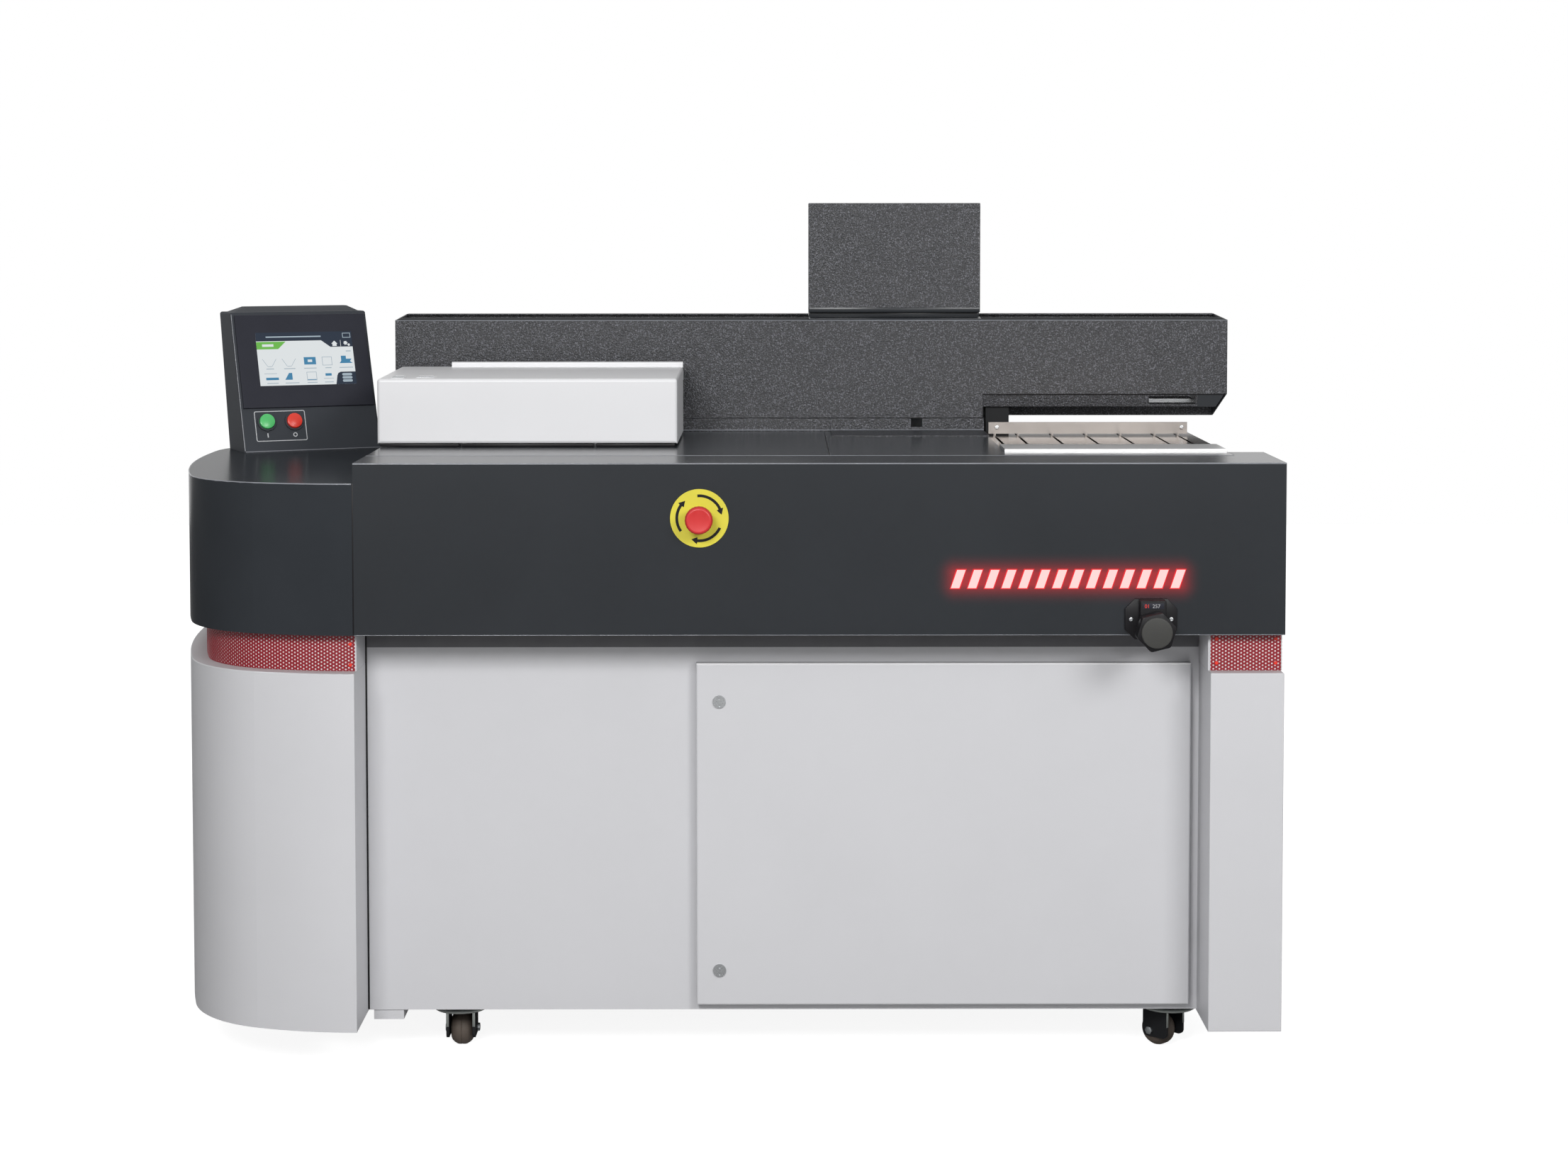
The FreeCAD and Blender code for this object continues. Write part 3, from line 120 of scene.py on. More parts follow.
def turned_metal(name, code, rough, streak=(1, 1, 1), spread=0.08, groove=0.04):
    """Bare metal with fine machining or brushing streaks along one axis."""
    material, tree, shader, place = finish(name, Metallic=1.0)
    lay = add(tree, "ShaderNodeMapping", {"Scale": streak}, Vector=place)
    grain = add(tree, "ShaderNodeTexNoise", {"Scale": 900.0, "Detail": 3.0}, Vector=lay.outputs[0])
    cloud = add(tree, "ShaderNodeTexNoise", {"Scale": 14.0, "Detail": 2.0}, Vector=place)
    colour = paint(code)
    dark = [c * 0.86 for c in colour[:3]] + [1]
    shade(tree, shader, between(tree, cloud.outputs[0], 0.3, 0.7), dark, colour)
    tree.links.new(between(tree, grain.outputs[0], 0.3, 0.7, rough - spread, rough + spread),
                   shader.inputs["Roughness"])
    emboss(tree, shader, grain.outputs[0], groove * MM, 0.5)
    return material


def moulded(name, code, rough, grain_mm=0.6, depth_mm=0.02, **settings):
    """Injection-moulded plastic: spark-eroded grain and small differences in gloss."""
    material, tree, shader, place = finish(name, **settings)
    grain = add(tree, "ShaderNodeTexNoise", {"Scale": 1000 / grain_mm, "Detail": 2.0}, Vector=place)
    cloud = add(tree, "ShaderNodeTexNoise", {"Scale": 25.0}, Vector=place)
    colour = paint(code)
    low = [c * 0.93 for c in colour[:3]] + [1]
    shade(tree, shader, between(tree, cloud.outputs[0], 0.35, 0.65), low, colour)
    tree.links.new(between(tree, grain.outputs[0], 0.3, 0.7, rough - 0.04, rough + 0.04),
                   shader.inputs["Roughness"])
    emboss(tree, shader, grain.outputs[0], depth_mm * MM)
    return material


def lit(name, code, strength):
    """A patch that glows: a lamp, a screen or painted light."""
    material, _, shader, _ = finish(name, Roughness=0.3, Emission_Strength=strength,
                                    Specular_IOR_Level=0.2)
    shader.inputs["Base Color"].default_value = (0.01, 0.01, 0.01, 1)
    shader.inputs["Emission Color"].default_value = paint(code)
    return material


# Fine charcoal powder coat of the covers: dark, cool, glossy at a low angle.
charcoal = powder_coat("charcoal powder coat", "272A2E", 0.24, 0.9, 0.010, 0.07, 0.3)
# The same coat, matt, on the console housing.
console_coat = powder_coat("matt charcoal powder coat", "44474C", 0.5, 0.9, 0.03, 0.06, 0.03)
# The same coat on the drum, hardly reflecting, and on the deck, where books rub it glossy.
drum_coat = powder_coat("charcoal drum coat", "34373B", 0.22, 0.9, 0.006, 0.07, 0.012)
deck_coat = powder_coat("rubbed charcoal coat", "34373B", 0.2, 0.9, 0.006, 0.07, 0.45)
# The same coat, darker and dull, in strips on top of the beam.
dull_coat = powder_coat("dull charcoal powder coat", "1D1F22", 0.6, 0.9, 0.03, 0.06, 0.02)
# Coarse textured powder coat of the beam and tower: real lumps of about 1.5 mm, drawn 2.4 mm wide
# so that they show. Light specks in its colour are partly the paint's silver fleck and partly
# painted glints for light caught on the lumps.
textured, tree, shader, place = coated("textured charcoal coat", "2E2F33", 0.36, 1.0, 0.05, 0.05,
                                       0.45)
lumps = add(tree, "ShaderNodeTexNoise", {"Scale": 1000 / 2.4, "Detail": 3.0, "Roughness": 0.6},
            Vector=place)
# Light specks: the paint's fleck and painted glints.
flecks_and_glints = add(tree, "ShaderNodeTexNoise", {"Scale": 1000 / 2.06, "Detail": 2.0}, Vector=place)
shade(tree, shader, between(tree, flecks_and_glints.outputs[0], 0.52, 0.68), paint("1F2024"), paint("67686F"))
tree.links.new(between(tree, lumps.outputs[0], 0.35, 0.65, 0.44, 0.26), shader.inputs["Roughness"])
emboss(tree, shader, lumps.outputs[0], 1.1 * MM)

# Painted highlight: the charcoal coat made much lighter and glossier on the beads along bent edges,
# in place of the line of light that a bent edge catches.
highlight_coat = powder_coat("charcoal coat painted as edge highlight", "7A7D84", 0.25, 1.6, 0.4, 0.3, 0.8)

# Light grey powder coat of the cabinet, door and columns.
light_grey = powder_coat("light grey powder coat", "CDCDD0", 0.48, 1.2, 0.04, 0.012)
# Painted highlight: the same coat much lighter on a bent edge's bead, in place of the light it
# catches.
grey_highlight_coat = powder_coat("light grey coat painted as edge highlight", "F2F2F3", 0.3, 1.2, 0.1, 0.03, 0.8)
# White powder coat of the glue hood.
white_coat = powder_coat("white powder coat", "E8E8EA", 0.38, 1.0, 0.03, 0.01)
# Red powder coat of the perforated bands.
red_coat = powder_coat("red powder coat", "8A0C1E", 0.4, 0.9, 0.02, 0.05)
# White liner sheet behind the perforations.
liner = powder_coat("white liner sheet", "E8E4E6", 0.6, 1.0, 0.02, 0.02)
# Black semi-matt enamel of the welded frame.
black_enamel = powder_coat("black frame enamel", "1A1B1D", 0.55, 1.4, 0.05, 0.12, 0.2)
# Stainless sheet, brushed along the machine; its colour is darkened and warmed, painting in a
# reflection of the room.
stainless = turned_metal("brushed stainless sheet", "7D6E62", 0.16, (0.1, 5, 5), 0.02, 0.0003)
# The upright lay rail: the same sheet with a satin face that spreads the light evenly.
satin_steel = turned_metal("satin stainless rail", "98938F", 0.34, (0.1, 5, 5), 0.02, 0.0003)
# Ground bar: bright with a soft sheen.
ground_steel = turned_metal("ground steel bar", "F0F0F0", 0.3, (0.1, 5, 5), 0.02, 0.0003)
# Ground and bright-turned steel.
bright_steel = turned_metal("bright turned steel", "B9BBBD", 0.3)
# Zinc-plated sheet, slightly blue and cloudy.
zinc = turned_metal("zinc plated sheet", "A4A8AA", 0.42, spread=0.1)
# ABS and polyamide mouldings.
black_abs = moulded("black polyamide moulding", "131215", 0.38, Specular_IOR_Level=0.2)
gloss_black = moulded("gloss black ABS bezel", "32333B", 0.3, 0.5, 0.006, Specular_IOR_Level=0.1)
knob_grey = moulded("worn black knob cap", "3D3D3B", 0.4, Specular_IOR_Level=0.3)
# Painted shadow: a matt grey strip on the cabinet under the front cover, its colour set to read as
# the deep shadow that the cover casts there.
shadow_strip_grey = moulded("grey strip painted as shadow", "6F6F72", 0.9, 0.8, 0.05)
yellow_disc = moulded("yellow laminate disc", "D9CE3C", 0.45)
red_abs = moulded("red ABS mushroom", "CE2E2E", 0.34, 0.8, 0.01)
red_key = moulded("red ABS key", "EC3B29", 0.3, 0.8, 0.008)
green_key = moulded("green ABS key", "55C871", 0.3, 0.8, 0.008)
tread = moulded("grey-brown caster tread", "5A5048", 0.7, 1.6, 0.12)
sign_face = lit("red lit acrylic", "FFD9D6", 1.0)

FINISHES = {
    "charcoal_paint": charcoal, "texture_paint": textured, "light_grey_paint": light_grey,
    "white_paint": white_coat, "red_mesh": liner, "frame_paint": black_enamel,
    "stainless": stainless, "polished_steel": ground_steel, "bright_metal": bright_steel,
    "zinc_steel": zinc, "black_plastic": black_abs, "gloss_black": gloss_black,
    "yellow_plastic": yellow_disc, "red_plastic": red_abs, "green_plastic": green_key,
    "sign_light": sign_face, "caster_tyre": tread,
}
for part in frame["record"]["subparts"]:
    mesh = nodes[part["node"]].data
    mesh.materials.clear()
    mesh.materials.append(FINISHES[part["material_slot"]])

for name, coat in (("console_housing", console_coat), ("left_drum_cover", drum_coat),
                   ("deck_plate_left", deck_coat), ("deck_plate_right", deck_coat),
                   ("cover_lay_rail", satin_steel)):
    nodes[name].data.materials[0] = coat

# --- Room, lamps and camera --------------------------------------------------------------------

# The floor glows to the camera alone, more with distance, so that it meets the white surround.
bpy.ops.mesh.primitive_plane_add(size=14, location=(0, 0, -0.0005))
floor = bpy.context.object
floor.name = "floor"
material, tree, shader, place = finish("pale studio floor", Roughness=0.9)
shader.inputs["Base Color"].default_value = (0.5, 0.5, 0.5, 1)
rays = add(tree, "ShaderNodeLightPath")
away = add(tree, "ShaderNodeVectorMath", {"operation": "LENGTH"}, Vector=place)
fade = between(tree, away.outputs["Value"], 0.9, 2.6, 0.9, 1.0)
lift = add(tree, "ShaderNodeMath", {"operation": "MULTIPLY"}, _0=rays.outputs[0], _1=fade)
shader.inputs["Emission Color"].default_value = (1, 1, 1, 1)
tree.links.new(lift.outputs[0], shader.inputs["Emission Strength"])
floor.data.materials.append(material)

# The surround is white to the camera and in reflections, and a weak lamp for everything else.
world = bpy.data.worlds.new("studio")
bpy.context.scene.world = world
world.use_nodes = True
tree = world.node_tree
back = tree.nodes["Background"]
rays = add(tree, "ShaderNodeLightPath")
seen = add(tree, "ShaderNodeMath", {"operation": "MAXIMUM"}, _0=rays.outputs["Is Camera Ray"],
           _1=rays.outputs["Is Glossy Ray"])
level = add(tree, "ShaderNodeMapRange", {"To Min": 0.21, "To Max": 1.0}, Value=seen.outputs[0])
tree.links.new(level.outputs[0], back.inputs["Strength"])
back.inputs["Color"].default_value = (1, 1, 1, 1)

for name, spot, turn, wide, tall, power in (
        ("left softbox", (-0.9, -4.0, 2.4), (66, 0, -12), 1.2, 0.9, 90),
        ("right softbox", (2.0, -3.7, 2.4), (65, 0, 30), 1.2, 0.9, 62),
        ("top softbox", (0.1, -0.2, 3.4), (0, 0, 0), 3.0, 1.2, 4),
        ("low softbox", (0.95, -4.1, 1.55), (86, 0, 10), 0.35, 0.35, 7)):
    bpy.ops.object.light_add(type="AREA", location=spot,
                             rotation=[math.radians(a) for a in turn])
    lamp = bpy.context.object
    lamp.name = name
    lamp.data.shape = "RECTANGLE"
    lamp.data.size, lamp.data.size_y = wide, tall
    lamp.data.energy = power

# The camera's turn, tilt down and roll in degrees.
yaw, pitch, roll = (math.radians(a) for a in (-0.131, 2.962, -0.029))
ahead = Vector((-math.sin(yaw) * math.cos(pitch), math.cos(yaw) * math.cos(pitch),
                -math.sin(pitch)))
level_right = Vector((math.cos(yaw), math.sin(yaw), 0))
level_up = level_right.cross(ahead)
right = level_right * math.cos(roll) + level_up * math.sin(roll)
up = level_up * math.cos(roll) - level_right * math.sin(roll)
bpy.ops.object.camera_add()
camera = bpy.context.object
turn = Matrix((right, up, -ahead)).transposed().to_4x4()
camera.matrix_world = Matrix.Translation((0.0872, -4.2462, 1.2254)) @ turn
camera.data.sensor_width = 36
camera.data.lens = 63.218
camera.data.shift_x = 0.0006
camera.data.shift_y = -0.14
bpy.context.scene.camera = camera
bpy.context.scene.view_settings.view_transform = "Standard"

# --- Modelling helpers -------------------------------------------------------------------------


def edit(*steps):
    """Runs edit-mode operators on the active mesh with everything selected."""
    bpy.ops.object.mode_set(mode="EDIT")
    for step in steps:
        bpy.ops.mesh.select_all(action="SELECT")
        step()
    bpy.ops.object.mode_set(mode="OBJECT")


def outward():
    bpy.ops.mesh.remove_doubles(threshold=0.00001)
    bpy.ops.mesh.select_all(action="SELECT")
    bpy.ops.mesh.normals_make_consistent(inside=False)


def soften(width, segments=2):
    """Rounds every edge of the selection by a width in millimetres."""
    return lambda: bpy.ops.mesh.bevel(offset=width * MM, segments=segments, affect="EDGES",
                                      clamp_overlap=True)


def cuboid(low, high, edge=0.0, segments=2):
    """A box between two corners in millimetres, with its edges rounded."""
    bpy.ops.mesh.primitive_cube_add(size=1, location=[(a + b) / 2 * MM for a, b in zip(low, high)])
    item = bpy.context.object
    item.scale = [(b - a) * MM for a, b in zip(low, high)]
    bpy.ops.object.transform_apply()
    if edge:
        edit(soften(edge, segments))
    return item


def slab(outline, thick, place=Matrix(), base=0.0, edge=0.0):
    """A flat piece: an outline across and up in millimetres, thick towards the viewer."""
    bpy.ops.mesh.primitive_circle_add(vertices=len(outline), radius=1, fill_type="NGON")
    item = bpy.context.object
    for vertex, (across, high) in zip(item.data.vertices, outline):
        vertex.co = (across * MM, -base * MM, high * MM)
    edit(lambda: bpy.ops.mesh.extrude_region_move(
        TRANSFORM_OT_translate={"value": (0, -thick * MM, 0)}), outward)
    if edge:
        edit(soften(edge))
    item.data.transform(place)
    return item


def spun(profile, place=Matrix(), steps=32):
    """A turned piece: a closed loop of radius and height pairs, spun about the local axis that
    points towards the viewer."""
    bpy.ops.mesh.primitive_circle_add(vertices=len(profile), radius=1, fill_type="NOTHING")
    item = bpy.context.object
    for vertex, (radius, high) in zip(item.data.vertices, profile):
        vertex.co = (radius * MM, -high * MM, 0)
    edit(lambda: bpy.ops.mesh.spin(steps=steps, angle=math.tau, center=(0, 0, 0), axis=(0, 1, 0)),
         lambda: bpy.ops.mesh.remove_doubles(threshold=0.000005),
         lambda: bpy.ops.mesh.dissolve_degenerate(threshold=0.000002),
         lambda: bpy.ops.mesh.delete_loose(), outward)
    item.data.transform(place)
    return item


def joined(items):
    """Several objects as one."""
    bpy.ops.object.select_all(action="DESELECT")
    for item in items:
        item.select_set(True)
    bpy.context.view_layer.objects.active = items[0]
    if len(items) > 1:
        bpy.ops.object.join()
    return bpy.context.object


def copies(item, places):
    """One object made of the item's copies, each moved by a matrix, each with its own mesh."""
    made = []
    for place in places:
        new = item.copy()
        new.data = item.data.copy()
        new.data.transform(place)
        bpy.context.collection.objects.link(new)
        made.append(new)
    bpy.data.objects.remove(item)
    return joined(made)


def dress(item, name, coat, body, angle=32):
    """Names a finished piece, gives it its finish and lets it ride on its body."""
    bpy.ops.object.select_all(action="DESELECT")
    item.select_set(True)
    bpy.context.view_layer.objects.active = item
    item.name = name
    item.data.materials.clear()
    item.data.materials.append(coat)
    bpy.ops.object.shade_smooth_by_angle(angle=math.radians(angle))
    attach(item, body)
    item.select_set(False)
    return item


def at(x, y, z, turn=(0, 0, 0)):
    """A place in millimetres, turned by three angles in degrees."""
    return Matrix.Translation((x * MM, y * MM, z * MM)) @ Euler(
        [math.radians(a) for a in turn]).to_matrix().to_4x4()


def polar(radius, angle):
    """The point at a radius and an angle in degrees."""
    return radius * math.cos(math.radians(angle)), radius * math.sin(math.radians(angle))


def ring(radius, count, first=0.0):
    """Points round a circle."""
    return [(radius * math.cos(math.radians(first) + math.tau * n / count),
             radius * math.sin(math.radians(first) + math.tau * n / count)) for n in range(count)]


def toothed(count, tip, root):
    """A wheel's outline of so many points, two at the tips' radius, two at the roots', in turn."""
    outline = []
    for n in range(count):
        far = tip if n % 4 < 2 else root
        turn = math.tau * n / count
        outline.append((far * math.cos(turn), far * math.sin(turn)))
    return outline


def box(left, low, right, high):
    """A rectangle's outline."""
    return [(left, low), (right, low), (right, high), (left, high)]


def socket_screw(radius, tall):
    """A domed screw head with a round socket, standing on its place."""
    return spun([(0, 0), (radius, 0), (radius, tall * 0.45), (radius * 0.86, tall * 0.85),
                 (radius * 0.6, tall), (radius * 0.5, tall), (radius * 0.45, tall * 0.4),
                 (0, tall * 0.4)], steps=20)


# --- Perforated bands --------------------------------------------------------------------------

PITCH = 5.1           # hole to hole, millimetres, rows staggered at 60 degrees
HOLE = 1.38           # hole radius
COLUMN = PITCH * math.sqrt(3) / 2
BAND_LOW, BAND_HIGH = 590, 644.5

# The left drum's plan: it leaves the front cover's end, follows three arcs of a radius and an
# angle, runs straight back and turns into the rear panel's plane with a last arc.
DRUM_FRONT, DRUM_REAR, DRUM_RIGHT = -360.0, 380.0, -514.0
DRUM_ARCS = ((430, 20), (184, 55), (1408, 15))
DRUM_STRAIGHT_END, DRUM_REAR_ARC = 210.0, 170


def perforated(length, low, high, edge_at):
    """A punched sheet: one hexagonal tile round a hole, arrayed and laid along a path."""
    bpy.ops.mesh.primitive_circle_add(vertices=8, radius=HOLE * MM, fill_type="NOTHING")
    tile = bpy.context.object
    edit(lambda: bpy.ops.mesh.extrude_edges_move())
    corner = PITCH / math.sqrt(3)
    outer = [(corner, 0)] + [polar(corner, a) for a in (60, 90, 120, 180, 240, 270, 300)]
    outer[2], outer[6] = (0, PITCH / 2), (0, -PITCH / 2)
    verts = tile.data.vertices
    for vertex in list(verts)[8:]:
        turn = math.atan2(vertex.co.y, vertex.co.x) % math.tau
        across, high_up = outer[round(turn / (math.tau / 8)) % 8]
        vertex.co = (across * MM, high_up * MM, 0)
    second = tile.copy()
    second.data = tile.data.copy()
    second.data.transform(Matrix.Translation((COLUMN * MM, PITCH / 2 * MM, 0)))
    bpy.context.collection.objects.link(second)
    sheet = joined([tile, second])
    for count, step in ((int(length / COLUMN / 2) + 1, (2 * COLUMN * MM, 0, 0)),
                        (int((high - low) / PITCH) + 2, (0, PITCH * MM, 0))):
        array = sheet.modifiers.new("rows", "ARRAY")
        array.count = count
        array.use_relative_offset = False
        array.use_constant_offset = True
        array.constant_offset_displace = step
        bpy.ops.object.modifier_apply(modifier=array.name)
    edit(lambda: bpy.ops.mesh.remove_doubles(threshold=0.00004))
    for vertex in sheet.data.vertices:
        along = min(max(vertex.co.x / MM, 0), length)
        up = min(max(low + vertex.co.y / MM, low + 0.2), high - 0.2)
        x, y = edge_at(along)
        vertex.co = (x * MM, y * MM, up * MM)
    edit(lambda: bpy.ops.mesh.dissolve_degenerate(threshold=0.00001), outward)
    wall = sheet.modifiers.new("sheet", "SOLIDIFY")
    wall.thickness = 0.7 * MM
    wall.offset = 0
    bpy.ops.object.modifier_apply(modifier=wall.name)
    return sheet


def drum_edge(inset):
    """The drum's plan, drawn in by an inset: its length, and the point at a distance along it."""
    runs = []
    x, y, heading = DRUM_RIGHT, DRUM_FRONT + inset, 180.0
    for outside, turn in DRUM_ARCS:
        radius = outside - inset
        runs.append((x, y, heading, radius, turn))
        first, last = math.radians(heading), math.radians(heading - turn)
        x += radius * (math.sin(first) - math.sin(last))
        y += radius * (math.cos(last) - math.cos(first))
        heading -= turn
    runs.append((x, y, heading, None, DRUM_STRAIGHT_END - y))
    runs.append((x, DRUM_STRAIGHT_END, heading, DRUM_REAR_ARC - inset, 90))
    spans = [run[4] if run[3] is None else run[3] * math.radians(run[4]) for run in runs]
    reach = x + DRUM_REAR_ARC - inset
    spans.append(DRUM_RIGHT - reach)

    def point(along):
        along += 2
        for run, span in zip(runs, spans):
            if along <= span:
                x, y, heading, radius, turn = run
                if radius is None:
                    return x, y + along
                first = math.radians(heading)
                now = first - along / radius
                return (x + radius * (math.sin(first) - math.sin(now)),
                        y + radius * (math.cos(now) - math.cos(first)))
            along -= span
        return reach + along, DRUM_REAR - inset
    return sum(spans) - 4, point


length, edge_point = drum_edge(24.5)     # the band lies this far inside the drum's skin
left_grille = perforated(length, BAND_LOW, BAND_HIGH, edge_point)
dress(left_grille, "left_band_grille", red_coat, "machine")

FRONT, SIDE = 101.2, 162.5     # lengths of the right band along its front and its side


def right_edge(along):
    """Along the right band's front, round its corner and back along its side."""
    if along <= FRONT:
        return 707.0 + along, -335.5
    return 708.5 + FRONT - 0.2, -335.5 + (along - FRONT)


right_grille = perforated(FRONT + SIDE, BAND_LOW, BAND_HIGH, right_edge)
dress(right_grille, "right_band_grille", red_coat, "machine")
trim = joined([cuboid((705.6, -336.2, 590.2), (707.2, -334, 644.3), 0.3),
               cuboid((808.2, -336.4, 590.2), (809.4, -334.6, 644.3), 0.3)])
dress(trim, "right_band_trim", light_grey, "machine")
screws = copies(socket_screw(2.6, 1.4), [at(x, y, z) for x, y, z in (
    (-522.6, -336.2, 629), (-522.6, -336.2, 599), (716, -336, 636), (800.5, -336, 636),
    (716, -336, 601), (800.5, -336, 601))])
dress(screws, "band_screws", red_key, "machine")

# --- Console -----------------------------------------------------------------------------------

# The console turns by 26 degrees on the deck; its face leans back by 20 from there.
upright = at(-770, 180, 861, (0, 0, 26))
face = upright @ at(0, 0, 0, (-20, 0, 0))


def rounded_box(left, low, right, high, radius, steps=5):
    """A rectangle's outline with round corners."""
    points = []
    for x, z, first in ((right - radius, high - radius, 0), (left + radius, high - radius, 90),
                        (left + radius, low + radius, 180), (right - radius, low + radius, 270)):
        for n in range(steps + 1):
            turn = math.radians(first + 90 * n / steps)
            points.append((x + radius * math.cos(turn), z + radius * math.sin(turn)))
    return points


def loop(outer, inner, thick, place, base):
    """A flat frame between two outlines of the same number of points."""
    bpy.ops.mesh.primitive_circle_add(vertices=len(outer), radius=1, fill_type="NOTHING")
    item = bpy.context.object
    for vertex, (across, high) in zip(item.data.vertices, outer):
        vertex.co = (across * MM, -base * MM, high * MM)
    edit(lambda: bpy.ops.mesh.extrude_edges_move())
    count = len(outer)
    for n in range(count):
        near = min(range(count), key=lambda k: (Vector((outer[k][0], 0, outer[k][1])) * MM
                                                + Vector((0, -base * MM, 0))
                                                - item.data.vertices[count + n].co).length)
        item.data.vertices[count + n].co = (inner[near][0] * MM, -base * MM, inner[near][1] * MM)
    edit(lambda: bpy.ops.mesh.extrude_region_move(
        TRANSFORM_OT_translate={"value": (0, -thick * MM, 0)}), outward)
    item.data.transform(place)
    return item


SCREEN = (36.3, 110)                    # low left corner on the console's face
STRETCH = (162 / 154, 91 / 86)          # glass size over the picture's nominal size
screen_white = lit("screen white", "E9EEF0", 0.85)
screen_navy = lit("screen navy", "16263A", 0.9)
screen_blue = lit("screen blue", "3E85AE", 0.85)
screen_pale = lit("screen pale grey", "A9B9C4", 0.85)
screen_green = lit("screen green", "6DBE4A", 0.85)
print_white = moulded("white screen print", "C9CBCE", 0.5)


def on_screen(outlines, layer, coat, name):
    """Flat shapes on the screen, in millimetres from its low left corner."""
    made = [slab([(SCREEN[0] + x * STRETCH[0], SCREEN[1] + z * STRETCH[1]) for x, z in outline],
                 0.12, face, 4.05 + 0.12 * layer) for outline in outlines]
    dress(joined(made), name, coat, "machine")


glass = cuboid((35.1, -4.1, 108.8), (199.5, -3.0, 202.2), 0)
glass.data.transform(face)
dress(glass, "screen_surround", gloss_black, "machine")
on_screen([box(0, 0, 154, 86)], 0, screen_white, "screen_ground")
on_screen([box(0, 72, 154, 86), [(104, 72), (118, 61), (154, 61), (154, 72)],
           [(121, 0), (154, 0), (154, 20), (130, 20), (126, 18), (124, 14)]],
          1, screen_navy, "screen_header")
on_screen([[(0, 59), (34, 59), (47, 71), (0, 71)]], 1, screen_green, "screen_state_tab")


def gear(x, z, size):
    """A small toothed wheel round a point."""
    return [(x + across, z + high) for across, high in toothed(24, size, size * 0.74)]


house = [(120, 66), (125, 71), (130, 66), (128.4, 66), (128.4, 62.2), (121.6, 62.2), (121.6, 66)]
on_screen([house, gear(143, 67, 3.4), gear(148, 64, 2.2), box(134.6, 61.4, 135.2, 71.6),
           box(9, 63, 27, 67)], 2, screen_white, "screen_header_marks")
on_screen([box(16, 77.6, 104, 79.6), box(139, 75.5, 152, 83.5)], 2, screen_pale,
          "screen_message_line")
on_screen([box(140, 76.5, 151, 82.5)], 3, screen_navy, "screen_key")
hoppers = []
for x in (18, 49):
    for side in (-1, 1):
        hoppers.append([(x + side * 3, 31), (x + side * 10.5, 43), (x + side * 11.3, 43),
                        (x + side * 3.8, 31)])
    hoppers.append(box(x - 3.2, 30.4, x + 3.2, 31.2))
sheets = []
for x, z in ((110, 38), (83, 14)):
    sheets += [box(x - 8, z - 7, x + 8, z - 6.2), box(x - 8, z + 6.2, x + 8, z + 7),
               box(x - 8, z - 6.2, x - 7.2, z + 6.2), box(x + 7.2, z - 6.2, x + 8, z + 6.2)]
captions = [box(x - wide, 26.4, x + wide, 27.6) for x, wide in ((18, 6), (49, 9), (82, 10),
                                                               (111, 5), (140, 11))]
captions += [box(x - wide, 3.2, x + wide, 4.4) for x, wide in ((20, 9), (51, 11), (83, 8),
                                                              (110, 7))]
captions += [box(102, 9.5, 118, 10.3), box(8, 19, 28, 19.8), box(142, 53, 150, 54.4)]
on_screen(hoppers + sheets + captions, 1, screen_pale, "screen_line_marks")
on_screen([box(73, 33, 92, 45), [(130, 34), (151, 34), (147, 37), (150, 41), (141, 41),
                                 (141, 46), (133, 46), (133, 38)],
           box(10, 9, 30, 13), [(40, 9), (52, 9), (52, 20), (47, 20)], box(105, 14, 115, 18),
           box(76, 8, 90, 9)], 1, screen_blue, "screen_blue_marks")
on_screen([box(79, 37, 86, 41), box(54, 9, 66, 21)], 2, screen_white, "screen_white_marks")
on_screen([rounded_box(132, z, 148, z + 4, 1.9, 3) for z in (3.5, 8.6, 13.7)], 2, screen_pale,
          "screen_store_mark")

frame_line = loop(rounded_box(21.5, 17.5, 106, 68.5, 3), rounded_box(22.7, 18.7, 104.8, 67.3, 2),
                  0.12, face, 0.05)
strokes = [slab(box(40.1, 24, 41.9, 31), 0.12, face, 0.05),
           spun([(2.2, 0.05), (3.7, 0.05), (3.7, 0.17), (2.2, 0.17)], face @ at(86.5, 0, 27.5))]
dress(joined([frame_line] + strokes), "button_frame_print", print_white, "machine")

# --- Emergency stop ----------------------------------------------------------------------------

STOP_X, STOP_Z = -22.6, 812
stop_place = at(STOP_X, -360, STOP_Z)
arrows = []
for first in (25, 145, 265):
    outer = [polar(34, first + a) for a in range(0, 71, 5)]
    inner = [polar(30, first + a) for a in range(70, -1, -5)]
    tip = [polar(27, first - 1), polar(32, first - 16), polar(37, first - 1)]
    arrows.append(slab(outer + inner + tip, 0.12, stop_place, 2.03))
dress(joined(arrows), "stop_turn_arrows", black_abs, "machine")
cap = spun([(0, 22.2), (18.4, 22.2), (18.8, 23), (19.4, 24), (19.9, 26), (20, 30), (19.8, 34),
            (18.9, 36.8), (17.4, 38.6), (15.6, 39.3), (15, 39.1), (0, 39.8)], stop_place, 72)
FLUTES, FLUTE_DEPTH = 24, 0.44
for vertex in cap.data.vertices:
    out = Vector((vertex.co.x - STOP_X * MM, 0, vertex.co.z - STOP_Z * MM))
    if out.length > 18.5 * MM:
        flute = math.cos(FLUTES * math.atan2(out.z, out.x))
        vertex.co += out.normalized() * (flute - 1) * FLUTE_DEPTH / 2 * MM
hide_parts("stop_head")
dress(cap, "stop_mushroom", red_abs, "emergency_head", 40)

# --- Start and stop keys -----------------------------------------------------------------------

for name, body, along, coat, slot_name in (
        ("start", "start_key", 41, green_key, "green_plastic"),
        ("stop", "stop_key", 86.5, red_key, "red_plastic")):
    key = spun([(0, -6), (12.5, -6), (12.5, 5.4), (12.1, 6.5), (11.2, 7), (0, 6.8)],
               face @ at(along, 0, 50), 48)
    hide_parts(name + "_button")
    dress(key, name + "_key_cap", coat, body, 40)

# --- Hand knob and position indicator ----------------------------------------------------------

knob_place = at(619.5, -388, 656)
